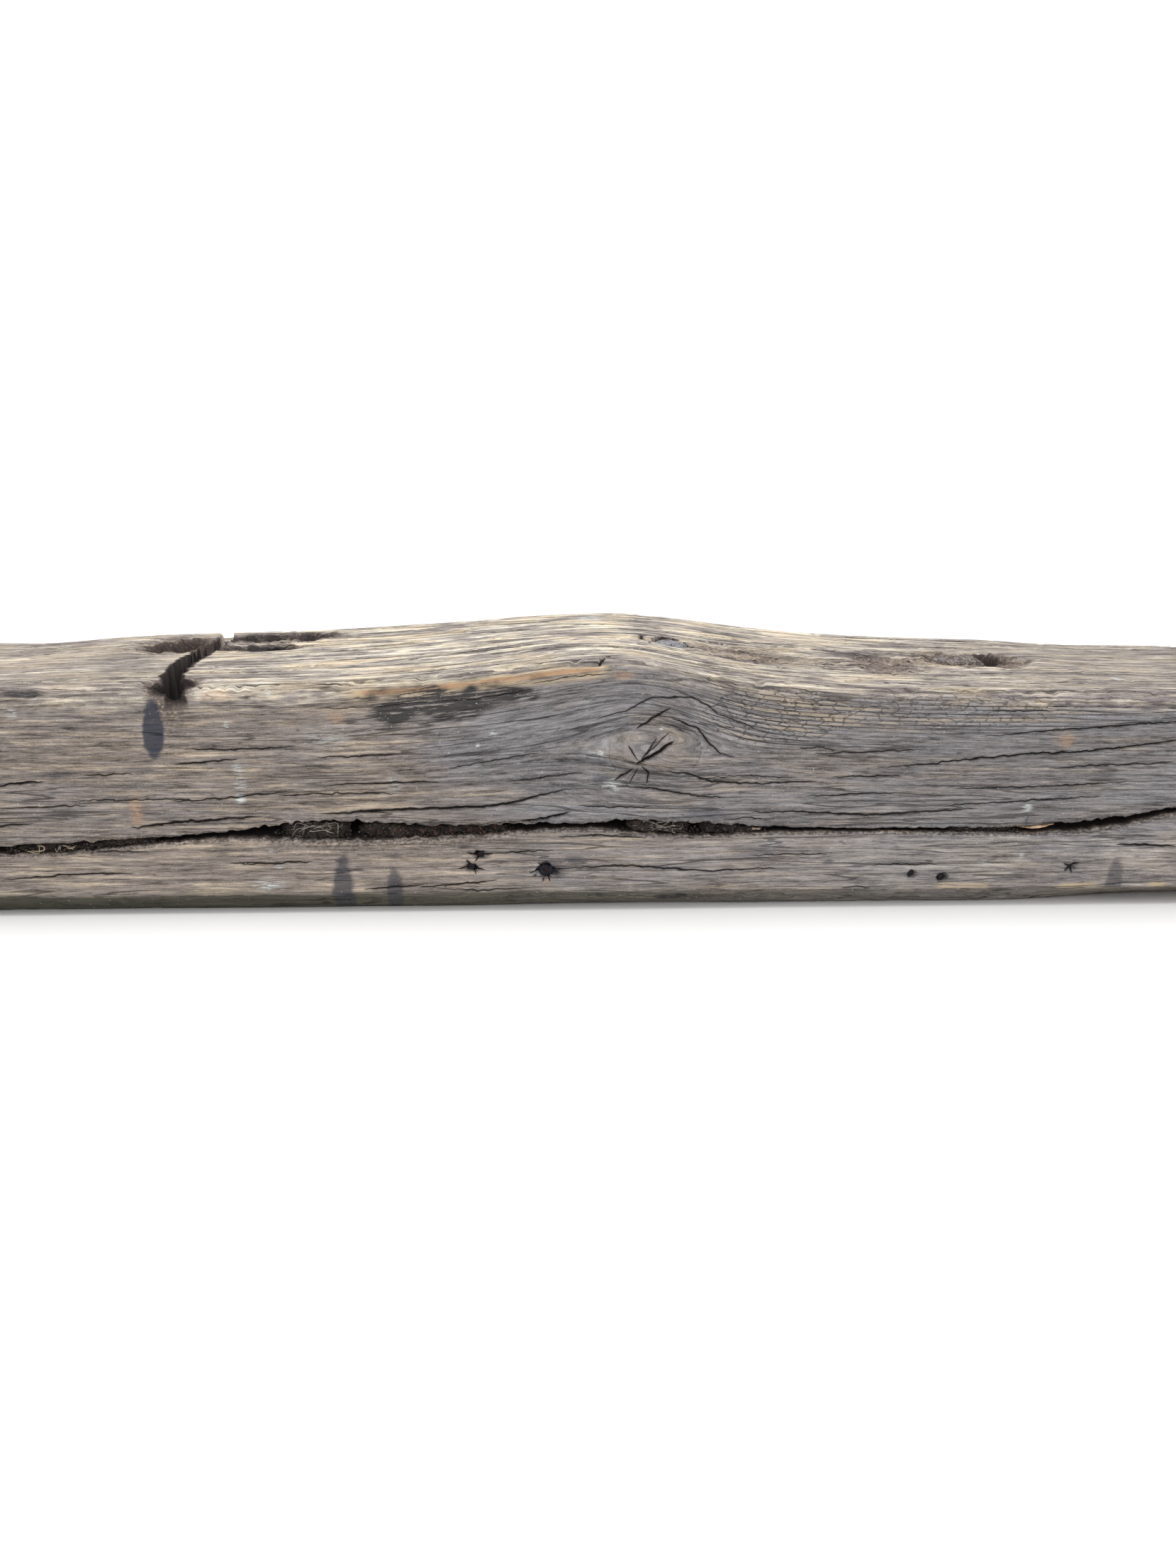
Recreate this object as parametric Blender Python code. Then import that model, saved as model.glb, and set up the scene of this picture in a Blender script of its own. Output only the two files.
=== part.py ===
"""Scaffold sole plank: an old hardwood baulk, split from end to end by one long shake.

The shake parts the baulk into an upper and a lower limb. Its mouth is packed with soil, roots, grass
and a splinter. Two knots and a rotted stub sit loose in their sockets, and nail ends are left in the
front. Metres, +X along the baulk, -Y its front, +Z up, z = 0 its underside.
"""

import math

import bmesh
import bpy
from mathutils import Matrix, Vector

# The baulk.
LENGTH = 1.200
DEPTH = 0.250
HEIGHT = 0.150
SLICE = 0.020
FRONT_ARRIS_RADIUS = 0.010
BACK_ARRIS_RADIUS = 0.005
CHAMFER_HEIGHT = 0.013
CHAMFER_DEPTH = 0.013
WANE_DEPTH = 0.016
WANE_FROM, WANE_TO = 0.28, 0.42

# The hump over the knot: its rise, its middle along X, and how wide it is to the left and the right.
FRONT_HUMP = (0.0235, 0.010, 0.113, 0.080)
BACK_HUMP = (0.0266, 0.020, 0.210, 0.143)
HUMP_FADES_FROM, HUMP_FADES_TO = 0.34, 0.46

# The shake, as (x, height) and (x, width of its mouth) along the front.
SHAKE_LINE = (
    (-0.60, 0.046), (-0.39, 0.045), (-0.30, 0.051), (-0.20, 0.0575), (-0.11, 0.0560), (-0.02, 0.0600),
    (0.08, 0.0570), (0.19, 0.0555), (0.30, 0.0560), (0.36, 0.0600), (0.41, 0.0690), (0.60, 0.0740),
)
MOUTH_LINE = (
    (-0.60, 0.0030), (-0.40, 0.0040), (-0.36, 0.0065), (-0.25, 0.0040), (-0.21, 0.0100), (-0.19, 0.0130),
    (-0.16, 0.0130), (-0.12, 0.0085), (-0.04, 0.0045), (0.00, 0.0040), (0.02, 0.0085), (0.07, 0.0085),
    (0.12, 0.0040), (0.19, 0.0020), (0.27, 0.0045), (0.34, 0.0065), (0.40, 0.0040), (0.60, 0.0030),
)
SHAKE_CLIMB = 0.016
MOUTH_DEPTH = 0.036
GAP = 0.0003

# The sawn slot across the top, and the rot hole at its front end.
SLOT_X_FRONT, SLOT_X_BACK = -0.284, -0.293
SLOT_WIDTH, SLOT_FLOOR = 0.010, 0.130
ROT_HOLE_Y, ROT_HOLE_FLOOR = -0.106, 0.112
ROT_HOLE_TOP_RADIUS, ROT_HOLE_FLOOR_RADIUS = 0.014, 0.005

# Rotted hollows in the top: middle x and y, length, width and floor height.
HOLLOWS = {
    "left_hollow": (-0.318, 0.078, 0.066, 0.046, 0.143),
    "right_hollow": (-0.235, 0.088, 0.088, 0.034, 0.150),
    "stub_hollow": (0.300, 0.010, 0.072, 0.056, 0.138),
}
HOLLOW_FLARE = 0.80

# Knots: middle, half width and half height at the face, how far they go in, and their taper.
FRONT_KNOT_X, FRONT_KNOT_Z = 0.038, 0.112
FRONT_KNOT_SIZE = (0.031, 0.024)
FRONT_KNOT_LENGTH = 0.115
TOP_KNOT_X, TOP_KNOT_Y = 0.060, -0.017
TOP_KNOT_SIZE = (0.0115, 0.021)
TOP_KNOT_TOP, TOP_KNOT_LENGTH = 0.1660, 0.040
KNOT_TAPER = 0.40
KNOT_SIDES = 28

# The rotted stub in its hollow.
STUB_X, STUB_Y = 0.287, 0.010
STUB_SIZE = (0.0125, 0.0165, 0.0120)

# Nail ends in the front of the lower limb: x, z, radius and length.
NAILS = {
    "rusted_spike_stub": (-0.0345, 0.0280, 0.0045, 0.070),
    "nail_stub_left": (-0.0850, 0.0315, 0.0024, 0.050),
    "nail_stub_upper": (-0.0785, 0.0395, 0.0024, 0.050),
    "nail_stub_right": (0.2190, 0.0240, 0.0022, 0.045),
    "nail_stub_far_right": (0.2410, 0.0210, 0.0022, 0.045),
}
NAIL_RECESS = 0.0022
NAIL_SIDES = 12
HOLE_SPARE = 0.004

# Soil packed in the mouth: where each clod begins and ends along X.
CLODS = {
    "soil_left_end": (-0.388, -0.292),
    "soil_root_clump": (-0.212, -0.166),
    "soil_red_rot": (-0.160, -0.058),
    "soil_knot_pocket": (0.020, 0.064),
    "soil_right_of_pocket": (0.070, 0.114),
    "soil_right_end": (0.244, 0.290),
}
CLOD_FRONT, CLOD_BACK = -0.1195, -0.1080
CLOD_CLEAR = 0.0008
CLOD_SLICES = 4

# Loose things in the mouth: radius, and points as (x, y, height above the middle of the shake).
STRANDS = {
    "grass_loop": (0.0005, (
        (-0.3750, -0.1228, -0.0012), (-0.3700, -0.1232, -0.0016), (-0.3664, -0.1234, -0.0010),
        (-0.3660, -0.1234, 0.0010), (-0.3676, -0.1230, 0.0018), (-0.3710, -0.1222, 0.0020),
    )),
    "grass_strands": (0.0004, (
        (-0.3560, -0.1216, 0.0012), (-0.3520, -0.1230, 0.0006), (-0.3495, -0.1232, -0.0012),
        (-0.3450, -0.1218, -0.0004),
    )),
    "pale_stalk": (0.0006, (
        (0.1000, -0.1212, -0.0012), (0.1060, -0.1230, 0.0000), (0.1120, -0.1230, 0.0006),
    )),
    "rootlets_left": (0.0004, (
        (-0.2020, -0.1212, -0.0030), (-0.1960, -0.1232, 0.0010), (-0.1880, -0.1226, 0.0030),
        (-0.1800, -0.1236, -0.0010), (-0.1740, -0.1212, -0.0034),
    )),
    "rootlets_pocket": (0.0004, (
        (0.0300, -0.1212, -0.0020), (0.0370, -0.1230, 0.0010), (0.0450, -0.1222, -0.0008),
        (0.0520, -0.1234, 0.0014), (0.0580, -0.1212, 0.0000),
    )),
}
SPLINTER_X, SPLINTER_Y = 0.3055, -0.1170
SPLINTER_SIZE = (0.021, 0.015, 0.0026)

# Colour, roughness and metallic value of each sub-part's material.
FINISHES = {
    "upper_limb": ((0.30, 0.25, 0.21), 0.90, 0.0),
    "lower_limb": ((0.28, 0.24, 0.19), 0.90, 0.0),
    "front_knot": ((0.22, 0.19, 0.17), 0.85, 0.0),
    "top_knot": ((0.34, 0.34, 0.36), 0.85, 0.0),
    "rotted_knot_stub": ((0.25, 0.22, 0.20), 0.95, 0.0),
    "lodged_splinter": ((0.62, 0.36, 0.20), 0.80, 0.0),
    "soil": ((0.06, 0.045, 0.04), 1.00, 0.0),
    "dry_grass": ((0.55, 0.48, 0.36), 0.80, 0.0),
    "rusted_iron": ((0.05, 0.04, 0.045), 0.85, 0.6),
}


def collection(name, parent):
    made = bpy.data.collections.new(name)
    parent.children.link(made)
    return made


def clear_scene():
    for obj in list(bpy.data.objects):
        bpy.data.objects.remove(obj, do_unlink=True)


def material(name):
    """The Principled material of this name, made once."""
    found = bpy.data.materials.get(name)
    if found:
        return found
    colour, roughness, metallic = FINISHES[name]
    made = bpy.data.materials.new(name)
    made.use_nodes = True
    shader = made.node_tree.nodes["Principled BSDF"]
    shader.inputs["Base Color"].default_value = (*colour, 1.0)
    shader.inputs["Roughness"].default_value = roughness
    shader.inputs["Metallic"].default_value = metallic
    made.diffuse_color = (*colour, 1.0)
    return made


def new_object(name, data, finish, home):
    obj = bpy.data.objects.new(name, data)
    if finish:
        data.materials.append(material(finish))
    home.objects.link(obj)
    return obj


def object_from(name, shape, finish, home):
    """Turns a bmesh into an object and frees it."""
    bmesh.ops.recalc_face_normals(shape, faces=shape.faces[:])
    mesh = bpy.data.meshes.new(name)
    shape.to_mesh(mesh)
    shape.free()
    return new_object(name, mesh, finish, home)


def along(x, points):
    """A smooth curve through (x, value) points, flat beyond the first and the last."""
    if x <= points[0][0]:
        return points[0][1]
    for i in range(len(points) - 1):
        (x0, v0), (x1, v1) = points[i], points[i + 1]
        if x > x1:
            continue
        before, after = points[max(i - 1, 0)], points[min(i + 2, len(points) - 1)]
        slope0 = (v1 - before[1]) / (x1 - before[0])
        slope1 = (after[1] - v0) / (after[0] - x0)
        width = x1 - x0
        t = (x - x0) / width
        bend = (2 * t**3 - 3 * t**2 + 1) * v0 + (3 * t**2 - 2 * t**3) * v1
        return bend + width * ((t**3 - 2 * t**2 + t) * slope0 + (t**3 - t**2) * slope1)
    return points[-1][1]


def ramp(value, low, high):
    """0 below low, 1 above high, and a smooth step between them."""
    t = min(max((value - low) / (high - low), 0.0), 1.0)
    return t * t * (3 - 2 * t)


def hump(x, rise, middle, left_width, right_width):
    width = left_width if x < middle else right_width
    fade = 1 - ramp(abs(x), HUMP_FADES_FROM, HUMP_FADES_TO)
    return fade * rise / (1 + ((x - middle) / width) ** 2)


def top_height(x, y):
    """The height of the top before its arrises are rounded."""
    back_share = y / DEPTH + 0.5
    return HEIGHT + (1 - back_share) * hump(x, *FRONT_HUMP) + back_share * hump(x, *BACK_HUMP)


def arris_drop(y):
    """How far the round of the front or back arris lowers the top."""
    for inward, radius in ((y + DEPTH / 2, FRONT_ARRIS_RADIUS), (DEPTH / 2 - y, BACK_ARRIS_RADIUS)):
        if inward < radius:
            return radius - math.sqrt(radius**2 - (radius - inward) ** 2)
    return 0.0


def shake_height(x, y):
    return along(x, SHAKE_LINE) + SHAKE_CLIMB * (y / DEPTH + 0.5)


def shake_width(x, y):
    closing = min(max(1 - (y + DEPTH / 2) / MOUTH_DEPTH, 0.0), 1.0)
    return GAP + along(x, MOUTH_LINE) * closing


def chamfer_depth(x):
    return CHAMFER_DEPTH + WANE_DEPTH * ramp(x, WANE_FROM, WANE_TO)


def evenly(low, high, count):
    return [low + (high - low) * i / count for i in range(count + 1)]


def lattice(name, stations, place, finish, home):
    """A box cut across at its stations along X, Y and Z, with each point then put where place says."""
    shape = bmesh.new()
    bmesh.ops.create_cube(shape, size=1.0)
    for vert in shape.verts:
        vert.co = [values[0] if vert.co[k] < 0 else values[-1] for k, values in enumerate(stations)]
    for k, values in enumerate(stations):
        normal = Vector([float(k == i) for i in range(3)])
        for value in values[1:-1]:
            everything = shape.verts[:] + shape.edges[:] + shape.faces[:]
            bmesh.ops.bisect_plane(shape, geom=everything, plane_co=normal * value, plane_no=normal)
    for vert in shape.verts:
        vert.co = place(*vert.co)
    bmesh.ops.triangulate(shape, faces=shape.faces[:])
    return object_from(name, shape, finish, home)


def cut(obj, cutter):
    difference = obj.modifiers.new(cutter.name, "BOOLEAN")
    difference.operation = "DIFFERENCE"
    difference.solver = "EXACT"
    difference.object = cutter


def as_cutter(obj):
    obj.hide_render = True
    obj.display_type = "WIRE"
    return obj


def cone(name, radius, far_radius, length, sides, finish, home):
    """A cone or cylinder from z = 0 down to z = -length, with its wide end up."""
    shape = bmesh.new()
    bmesh.ops.create_cone(
        shape, cap_ends=True, segments=sides, radius1=far_radius, radius2=radius, depth=length
    )
    bmesh.ops.translate(shape, verts=shape.verts[:], vec=(0.0, 0.0, -length / 2))
    made = object_from(name, shape, finish, home)
    made.data.shade_smooth()
    made.data.set_sharp_from_angle(angle=math.radians(40))
    return made


def upper_limb(home):
    def place(x, y, level):
        low = shake_height(x, y) + shake_width(x, y) / 2
        high = top_height(x, y) - arris_drop(y)
        return Vector((x, y, low + level * (high - low)))

    front, back = -DEPTH / 2, DEPTH / 2
    across = [front, front + 0.0015, front + 0.0045, front + FRONT_ARRIS_RADIUS, front + MOUTH_DEPTH]
    across += [0.0, back - BACK_ARRIS_RADIUS, back - 0.0015, back]
    stations = (evenly(-LENGTH / 2, LENGTH / 2, round(LENGTH / SLICE)), across, [0.0, 1.0])
    return lattice("upper_limb", stations, place, "upper_limb", home)


def lower_limb(home):
    def place(x, y, level):
        if level < 0.5:
            return Vector((x, max(y, chamfer_depth(x) - DEPTH / 2), 0.0))
        if level < 1.5:
            return Vector((x, y, CHAMFER_HEIGHT))
        return Vector((x, y, shake_height(x, y) - shake_width(x, y) / 2))

    across = [-DEPTH / 2, -DEPTH / 2 + MOUTH_DEPTH, 0.0, DEPTH / 2]
    stations = (evenly(-LENGTH / 2, LENGTH / 2, round(LENGTH / SLICE)), across, [0.0, 1.0, 2.0])
    return lattice("lower_limb", stations, place, "lower_limb", home)


def slot_cutter(home):
    """The sawn slot: a slanting bar with a narrower floor, open at the back and above."""
    def place(x, y, level):
        middle = SLOT_X_FRONT + (SLOT_X_BACK - SLOT_X_FRONT) * (y / DEPTH + 0.5)
        half = SLOT_WIDTH * (0.5 if level > 0.5 else 0.3)
        return Vector((middle + half * (1 if x > 0 else -1), y, HEIGHT * 1.5 if level > 0.5 else SLOT_FLOOR))

    stations = ([-1.0, 1.0], [ROT_HOLE_Y, DEPTH], [0.0, 1.0])
    return as_cutter(lattice("slot_cutter", stations, place, None, home))


def rot_hole_cutter(home):
    depth = HEIGHT + 0.02 - ROT_HOLE_FLOOR
    made = cone("rot_hole_cutter", ROT_HOLE_TOP_RADIUS, ROT_HOLE_FLOOR_RADIUS, depth, 16, None, home)
    made.location = (SLOT_X_FRONT, ROT_HOLE_Y, ROT_HOLE_FLOOR + depth)
    return as_cutter(made)


def hollow_cutter(name, middle_x, middle_y, length, width, floor, home):
    """A shallow trough that is narrower at its floor than at the surface."""
    def place(x, y, level):
        share = 1.0 if level > 0.5 else HOLLOW_FLARE
        return Vector((
            middle_x + x * length / 2 * share,
            middle_y + y * width / 2 * share * (1 - 0.35 * x * x),
            HEIGHT * 1.5 if level > 0.5 else floor,
        ))

    stations = ([-1.0, -0.5, 0.0, 0.5, 1.0], [-1.0, 1.0], [0.0, 1.0])
    return as_cutter(lattice(name, stations, place, None, home))


def knot(name, size, length, spare, over, finish, home):
    """A tapered oval peg, wide end up at z = over, larger all round by spare. It is turned, then squeezed."""
    wide = 1.0 + (1.0 - KNOT_TAPER) * over / length
    made = cone(name, wide, KNOT_TAPER, over + length + spare, KNOT_SIDES, finish, home)
    made.data.transform(Matrix.Diagonal((size[0] + spare, size[1] + spare, 1.0, 1.0)))
    made.data.transform(Matrix.Translation((0.0, 0.0, over)))
    return made


def front_knot(home, cutters):
    """The knot in the front face, and the cutter of its socket."""
    turned = Matrix.Rotation(math.radians(90), 4, "X")
    seat = Matrix.Translation((FRONT_KNOT_X, -DEPTH / 2, FRONT_KNOT_Z)) @ turned
    peg = knot("front_knot", FRONT_KNOT_SIZE, FRONT_KNOT_LENGTH, 0.0, 0.0, "front_knot", home)
    peg.matrix_world = seat
    socket = knot(
        "front_knot_socket", FRONT_KNOT_SIZE, FRONT_KNOT_LENGTH, 2 * GAP, HOLE_SPARE, None, cutters
    )
    socket.matrix_world = seat
    return as_cutter(socket)


def top_knot(home, cutters):
    """The knot in the top, a little below the surface, and the cutter of its socket."""
    seat = (TOP_KNOT_X, TOP_KNOT_Y, TOP_KNOT_TOP)
    knot("top_knot", TOP_KNOT_SIZE, TOP_KNOT_LENGTH, 0.0, 0.0, "top_knot", home).location = seat
    over = HEIGHT * 1.5 - TOP_KNOT_TOP
    socket = knot("top_knot_socket", TOP_KNOT_SIZE, TOP_KNOT_LENGTH, 2 * GAP, over, None, cutters)
    socket.location = seat
    return as_cutter(socket)


def rotted_stub(home):
    """The stub of a rotted branch: a flattened ball, cut flat where it rests on its hollow's floor."""
    floor = HOLLOWS["stub_hollow"][4] + GAP
    shape = bmesh.new()
    bmesh.ops.create_uvsphere(shape, u_segments=20, v_segments=12, radius=1.0)
    bmesh.ops.scale(shape, verts=shape.verts[:], vec=STUB_SIZE)
    everything = shape.verts[:] + shape.edges[:] + shape.faces[:]
    bmesh.ops.bisect_plane(
        shape, geom=everything, plane_co=(0, 0, 0), plane_no=(0, 0, -1), clear_outer=True
    )
    bmesh.ops.holes_fill(shape, edges=[edge for edge in shape.edges if edge.is_boundary])
    bmesh.ops.translate(shape, verts=shape.verts[:], vec=(STUB_X, STUB_Y, floor))
    return object_from("rotted_knot_stub", shape, "rotted_knot_stub", home)


def nail(name, x, z, radius, length, home, cutters):
    """A nail end level in the front, and the cutter of its hole."""
    turned = Matrix.Rotation(math.radians(90), 4, "X")
    shank = cone(name, radius, radius, length, NAIL_SIDES, "rusted_iron", home)
    shank.matrix_world = Matrix.Translation((x, NAIL_RECESS - DEPTH / 2, z)) @ turned
    deep = length + HOLE_SPARE + NAIL_RECESS + GAP
    hole = cone(name + "_hole", radius + GAP, radius + GAP, deep, NAIL_SIDES, None, cutters)
    hole.matrix_world = Matrix.Translation((x, -HOLE_SPARE - DEPTH / 2, z)) @ turned
    return as_cutter(hole)


def clod(name, start, end, home):
    """Soil that fills the mouth between the two limbs, thinner towards both of its ends."""
    def place(x, y, level):
        ends = 1 - abs(2 * (x - start) / (end - start) - 1) ** 3
        room = shake_width(x, y) / 2 - CLOD_CLEAR
        half = room * (0.45 + 0.55 * ends)
        return Vector((x, y, shake_height(x, y) + half * (2 * level - 1)))

    stations = (evenly(start, end, CLOD_SLICES), [CLOD_FRONT, CLOD_BACK], [0.0, 1.0])
    return lattice(name, stations, place, "soil", home)


def strand(name, radius, points, home):
    """A stalk or root: a thin round wire along its points."""
    curve = bpy.data.curves.new(name, "CURVE")
    curve.dimensions = "3D"
    curve.bevel_depth = radius
    curve.bevel_resolution = 1
    curve.use_fill_caps = True
    spline = curve.splines.new("POLY")
    spline.points.add(len(points) - 1)
    for point, (x, y, rise) in zip(spline.points, points):
        point.co = (x, y, shake_height(x, y) + rise, 1.0)
    return new_object(name, curve, "dry_grass", home)


def splinter(home):
    """A wedge of torn wood pinched in the mouth, thin at its right end and at its back."""
    length, width, thickness = SPLINTER_SIZE

    def place(x, y, level):
        half = thickness / 2 * (0.65 - 0.35 * x) * (0.7 - 0.3 * y)
        world_x = SPLINTER_X + x * length / 2
        world_y = SPLINTER_Y + y * width / 2
        return Vector((world_x, world_y, shake_height(world_x, world_y) + half * (2 * level - 1)))

    stations = ([-1.0, 0.0, 1.0], [-1.0, 1.0], [0.0, 1.0])
    return lattice("lodged_splinter", stations, place, "lodged_splinter", home)


def build():
    clear_scene()
    parts = collection("scaffold_sole_plank", bpy.context.scene.collection)
    cutters = collection("cutters", bpy.context.scene.collection)
    upper, lower = upper_limb(parts), lower_limb(parts)
    cut(upper, slot_cutter(cutters))
    cut(upper, rot_hole_cutter(cutters))
    for name, sizes in HOLLOWS.items():
        cut(upper, hollow_cutter(name, *sizes, cutters))
    cut(upper, front_knot(parts, cutters))
    cut(upper, top_knot(parts, cutters))
    rotted_stub(parts)
    for name, sizes in NAILS.items():
        cut(lower, nail(name, *sizes, parts, cutters))
    for name, (start, end) in CLODS.items():
        clod(name, start, end, parts)
    for name, (radius, points) in STRANDS.items():
        strand(name, radius, points, parts)
    splinter(parts)


build()
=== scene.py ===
"""An old split hardwood baulk, kept as a scaffold sole plank, built around its fitted frame."""

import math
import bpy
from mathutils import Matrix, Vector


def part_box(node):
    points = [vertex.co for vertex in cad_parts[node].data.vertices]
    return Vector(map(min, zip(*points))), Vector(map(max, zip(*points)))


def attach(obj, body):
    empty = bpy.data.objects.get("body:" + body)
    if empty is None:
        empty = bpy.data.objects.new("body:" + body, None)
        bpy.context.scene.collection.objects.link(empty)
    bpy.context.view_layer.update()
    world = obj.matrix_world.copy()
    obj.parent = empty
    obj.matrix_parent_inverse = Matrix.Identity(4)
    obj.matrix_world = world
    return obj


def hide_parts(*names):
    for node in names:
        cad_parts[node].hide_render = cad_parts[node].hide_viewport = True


bl_info = {
    "name": "Scaffold Sole Plank",
    "version": (1, 0, 0),
    "blender": (4, 5, 0),
    "location": "3D View > Sidebar > Plank",
    "description": "Weathers a split hardwood baulk: timber, knots, packed shake, nail ends and stage",
    "category": "Object",
}

import bpy
import numpy as np
from bpy.props import FloatProperty, FloatVectorProperty, PointerProperty
from mathutils import Matrix

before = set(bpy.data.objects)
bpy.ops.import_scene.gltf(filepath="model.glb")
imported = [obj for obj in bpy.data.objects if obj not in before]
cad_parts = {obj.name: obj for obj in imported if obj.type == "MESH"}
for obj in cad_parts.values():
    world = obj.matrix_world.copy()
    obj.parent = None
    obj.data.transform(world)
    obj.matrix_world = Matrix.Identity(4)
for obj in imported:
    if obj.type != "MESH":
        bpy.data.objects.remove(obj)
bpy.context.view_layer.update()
LIMB_LOW, LIMB_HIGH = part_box("upper_limb")
BODY = "root"

# The shake along the front: its height, and how far its mouth is open.
SHAKE_LINE = (
    (-0.60, 0.046), (-0.39, 0.045), (-0.30, 0.051), (-0.20, 0.0575), (-0.11, 0.0560), (-0.02, 0.0600),
    (0.08, 0.0570), (0.19, 0.0555), (0.30, 0.0560), (0.36, 0.0600), (0.41, 0.0690), (0.60, 0.0740),
)
MOUTH_LINE = (
    (-0.60, 0.0030), (-0.40, 0.0040), (-0.36, 0.0065), (-0.25, 0.0040), (-0.21, 0.0100), (-0.19, 0.0130),
    (-0.16, 0.0130), (-0.12, 0.0085), (-0.04, 0.0045), (0.00, 0.0040), (0.02, 0.0085), (0.07, 0.0085),
    (0.12, 0.0030), (0.19, 0.0014), (0.26, 0.0036), (0.34, 0.0065), (0.40, 0.0040), (0.60, 0.0030),
)
SHAKE_CLIMB, MOUTH_DEPTH, SHAKE_GAP = 0.016, 0.036, 0.0006

# The hump over the knot: rise, middle, and how wide it is to the left and the right.
FRONT_HUMP = (0.0235, 0.010, 0.113, 0.080)
BACK_HUMP = (0.0266, 0.020, 0.210, 0.143)
HUMP_FADES = (0.34, 0.46)

# The floor plane lies just below zero, and the underside stays above it.
FLOOR_LEVEL, UNDERSIDE = -0.0004, -0.0003

# How far the limbs' small edges are rounded: the lips' height, how far each lip goes in, the lower
# back edge and the ends.
LIP_ROUND, UPPER_LIP, LOWER_LIP, UNDER_ARRIS, END_ROUND = 0.0015, 0.0012, 0.0014, 0.002, 0.0022

# What the wide faces measure round a section, which sets how many points each one gets, and how
# much coarser the top and finer the lower limb are.
UPPER_FACE, TOP_FACE, LOWER_FACE = 0.094, 0.235, 0.040
TOP_COARSER, LOWER_FINER = 1.35, 0.85

# Where the rings centre, and the three places that push the grain aside: x, y or z, reach along
# the grain to each side, reach across it, and how far they push it.
PITH = (0.080, -0.030)
FRONT_KNOT = (0.038, 0.112, 0.031, 0.024)
TOP_KNOT = (0.060, -0.0145, 0.0120, 0.0235)
STUB = (0.290, 0.010)

# The rotted stub: the middle of its foot, its reach along X and Y, and its rise.
STUB_MIDDLE = (0.2885, 0.011, 0.1370)
STUB_REACH = (0.0212, 0.0215, 0.0178)

# The sawn slot across the top: its middle and half its width at each y. It runs into a rot hole in front.
SLOT_LINE = ((-0.125, -0.2745), (-0.077, -0.2875), (0.020, -0.2910), (0.090, -0.2860), (0.125, -0.2925))
SLOT_HALF = ((-0.125, 0.0055), (-0.077, 0.0060), (0.020, 0.0068), (0.090, 0.0055), (0.125, 0.0060))
SLOT_FLOOR = (
    (-0.125, 0.1460), (-0.118, 0.1430), (-0.108, 0.1310), (0.020, 0.1330), (0.080, 0.1430), (0.125, 0.1535),
)
ROT_FLOOR = 0.114

# Rotted hollows in the top: middle (x, y), reach each way, floor height, how much painted shade darkens
# inside.
HOLLOWS = (
    (-0.315, 0.060, 0.030, 0.031, 0.1395, 0.75), (-0.240, 0.083, 0.044, 0.020, 0.1480, 0.60),
    (-0.252, 0.040, 0.037, 0.011, 0.1510, 0.50), (0.300, 0.012, 0.041, 0.031, 0.1400, 0.35),
    (0.3165, 0.018, 0.0125, 0.025, 0.1350, 0.92),
)

# Nail ends in the front: x, z, radius.
NAILS = {
    "rusted_spike_stub": (-0.0345, 0.0280, 0.0045), "nail_stub_left": (-0.0850, 0.0315, 0.0024),
    "nail_stub_upper": (-0.0785, 0.0395, 0.0024), "nail_stub_right": (0.2190, 0.0240, 0.0022),
    "nail_stub_far_right": (0.2410, 0.0210, 0.0022),
}

# Marks on the front: middle (x, z), reach each way, softness, strength.
IRON_MARKS = (
    (-0.2900, 0.1255, 0.0062, 0.0180, 0.30, 1.00), (-0.1710, 0.0130, 0.0068, 0.0290, 0.30, 0.85),
    (-0.1370, 0.0130, 0.0052, 0.0200, 0.35, 0.75), (0.3645, 0.0130, 0.0062, 0.0210, 0.40, 0.65),
    (-0.0310, 0.0300, 0.0125, 0.0085, 0.9, 0.80), (-0.0150, 0.0360, 0.0090, 0.0040, 0.9, 0.60),
    (-0.0850, 0.0315, 0.0060, 0.0036, 0.9, 0.75), (-0.0785, 0.0395, 0.0062, 0.0034, 0.9, 0.75),
    (-0.1360, 0.0400, 0.0060, 0.0030, 0.9, 0.55), (-0.0900, 0.0460, 0.0050, 0.0022, 0.9, 0.50),
    (-0.2150, 0.0345, 0.0035, 0.0030, 0.9, 0.55), (-0.3000, 0.1010, 0.0120, 0.0050, 1.0, 0.45),
    (-0.3550, 0.0960, 0.0160, 0.0035, 1.0, 0.50), (-0.3900, 0.0910, 0.0120, 0.0035, 1.0, 0.55),
    (0.0020, 0.1050, 0.0080, 0.0035, 1.0, 0.55), (0.0040, 0.0930, 0.0110, 0.0045, 1.0, 0.65),
    (0.1100, 0.0400, 0.0220, 0.0055, 1.0, 0.45), (0.0750, 0.0680, 0.0200, 0.0050, 1.0, 0.50),
    (0.2190, 0.0240, 0.0060, 0.0036, 0.9, 0.55), (0.2410, 0.0210, 0.0060, 0.0036, 0.9, 0.55),
    (0.2970, 0.0600, 0.0016, 0.0080, 0.7, 0.50), (0.1600, 0.0330, 0.0050, 0.0025, 0.9, 0.55),
    (0.0900, 0.0300, 0.0080, 0.0022, 0.9, 0.55), (0.3320, 0.0270, 0.0060, 0.0030, 0.9, 0.60),
)
RUST_MARKS = (
    (-0.304, 0.0725, 0.0055, 0.0100, 0.9, 0.8), (-0.1715, 0.134, 0.0065, 0.0055, 0.9, 0.7),
    (0.3205, 0.1195, 0.0085, 0.0065, 0.9, 0.8), (0.0155, 0.1625, 0.0080, 0.0030, 0.9, 0.7),
    (-0.0345, 0.0200, 0.0050, 0.0040, 0.9, 0.5), (-0.2480, 0.1490, 0.0150, 0.0040, 0.9, 0.5),
)
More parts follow.
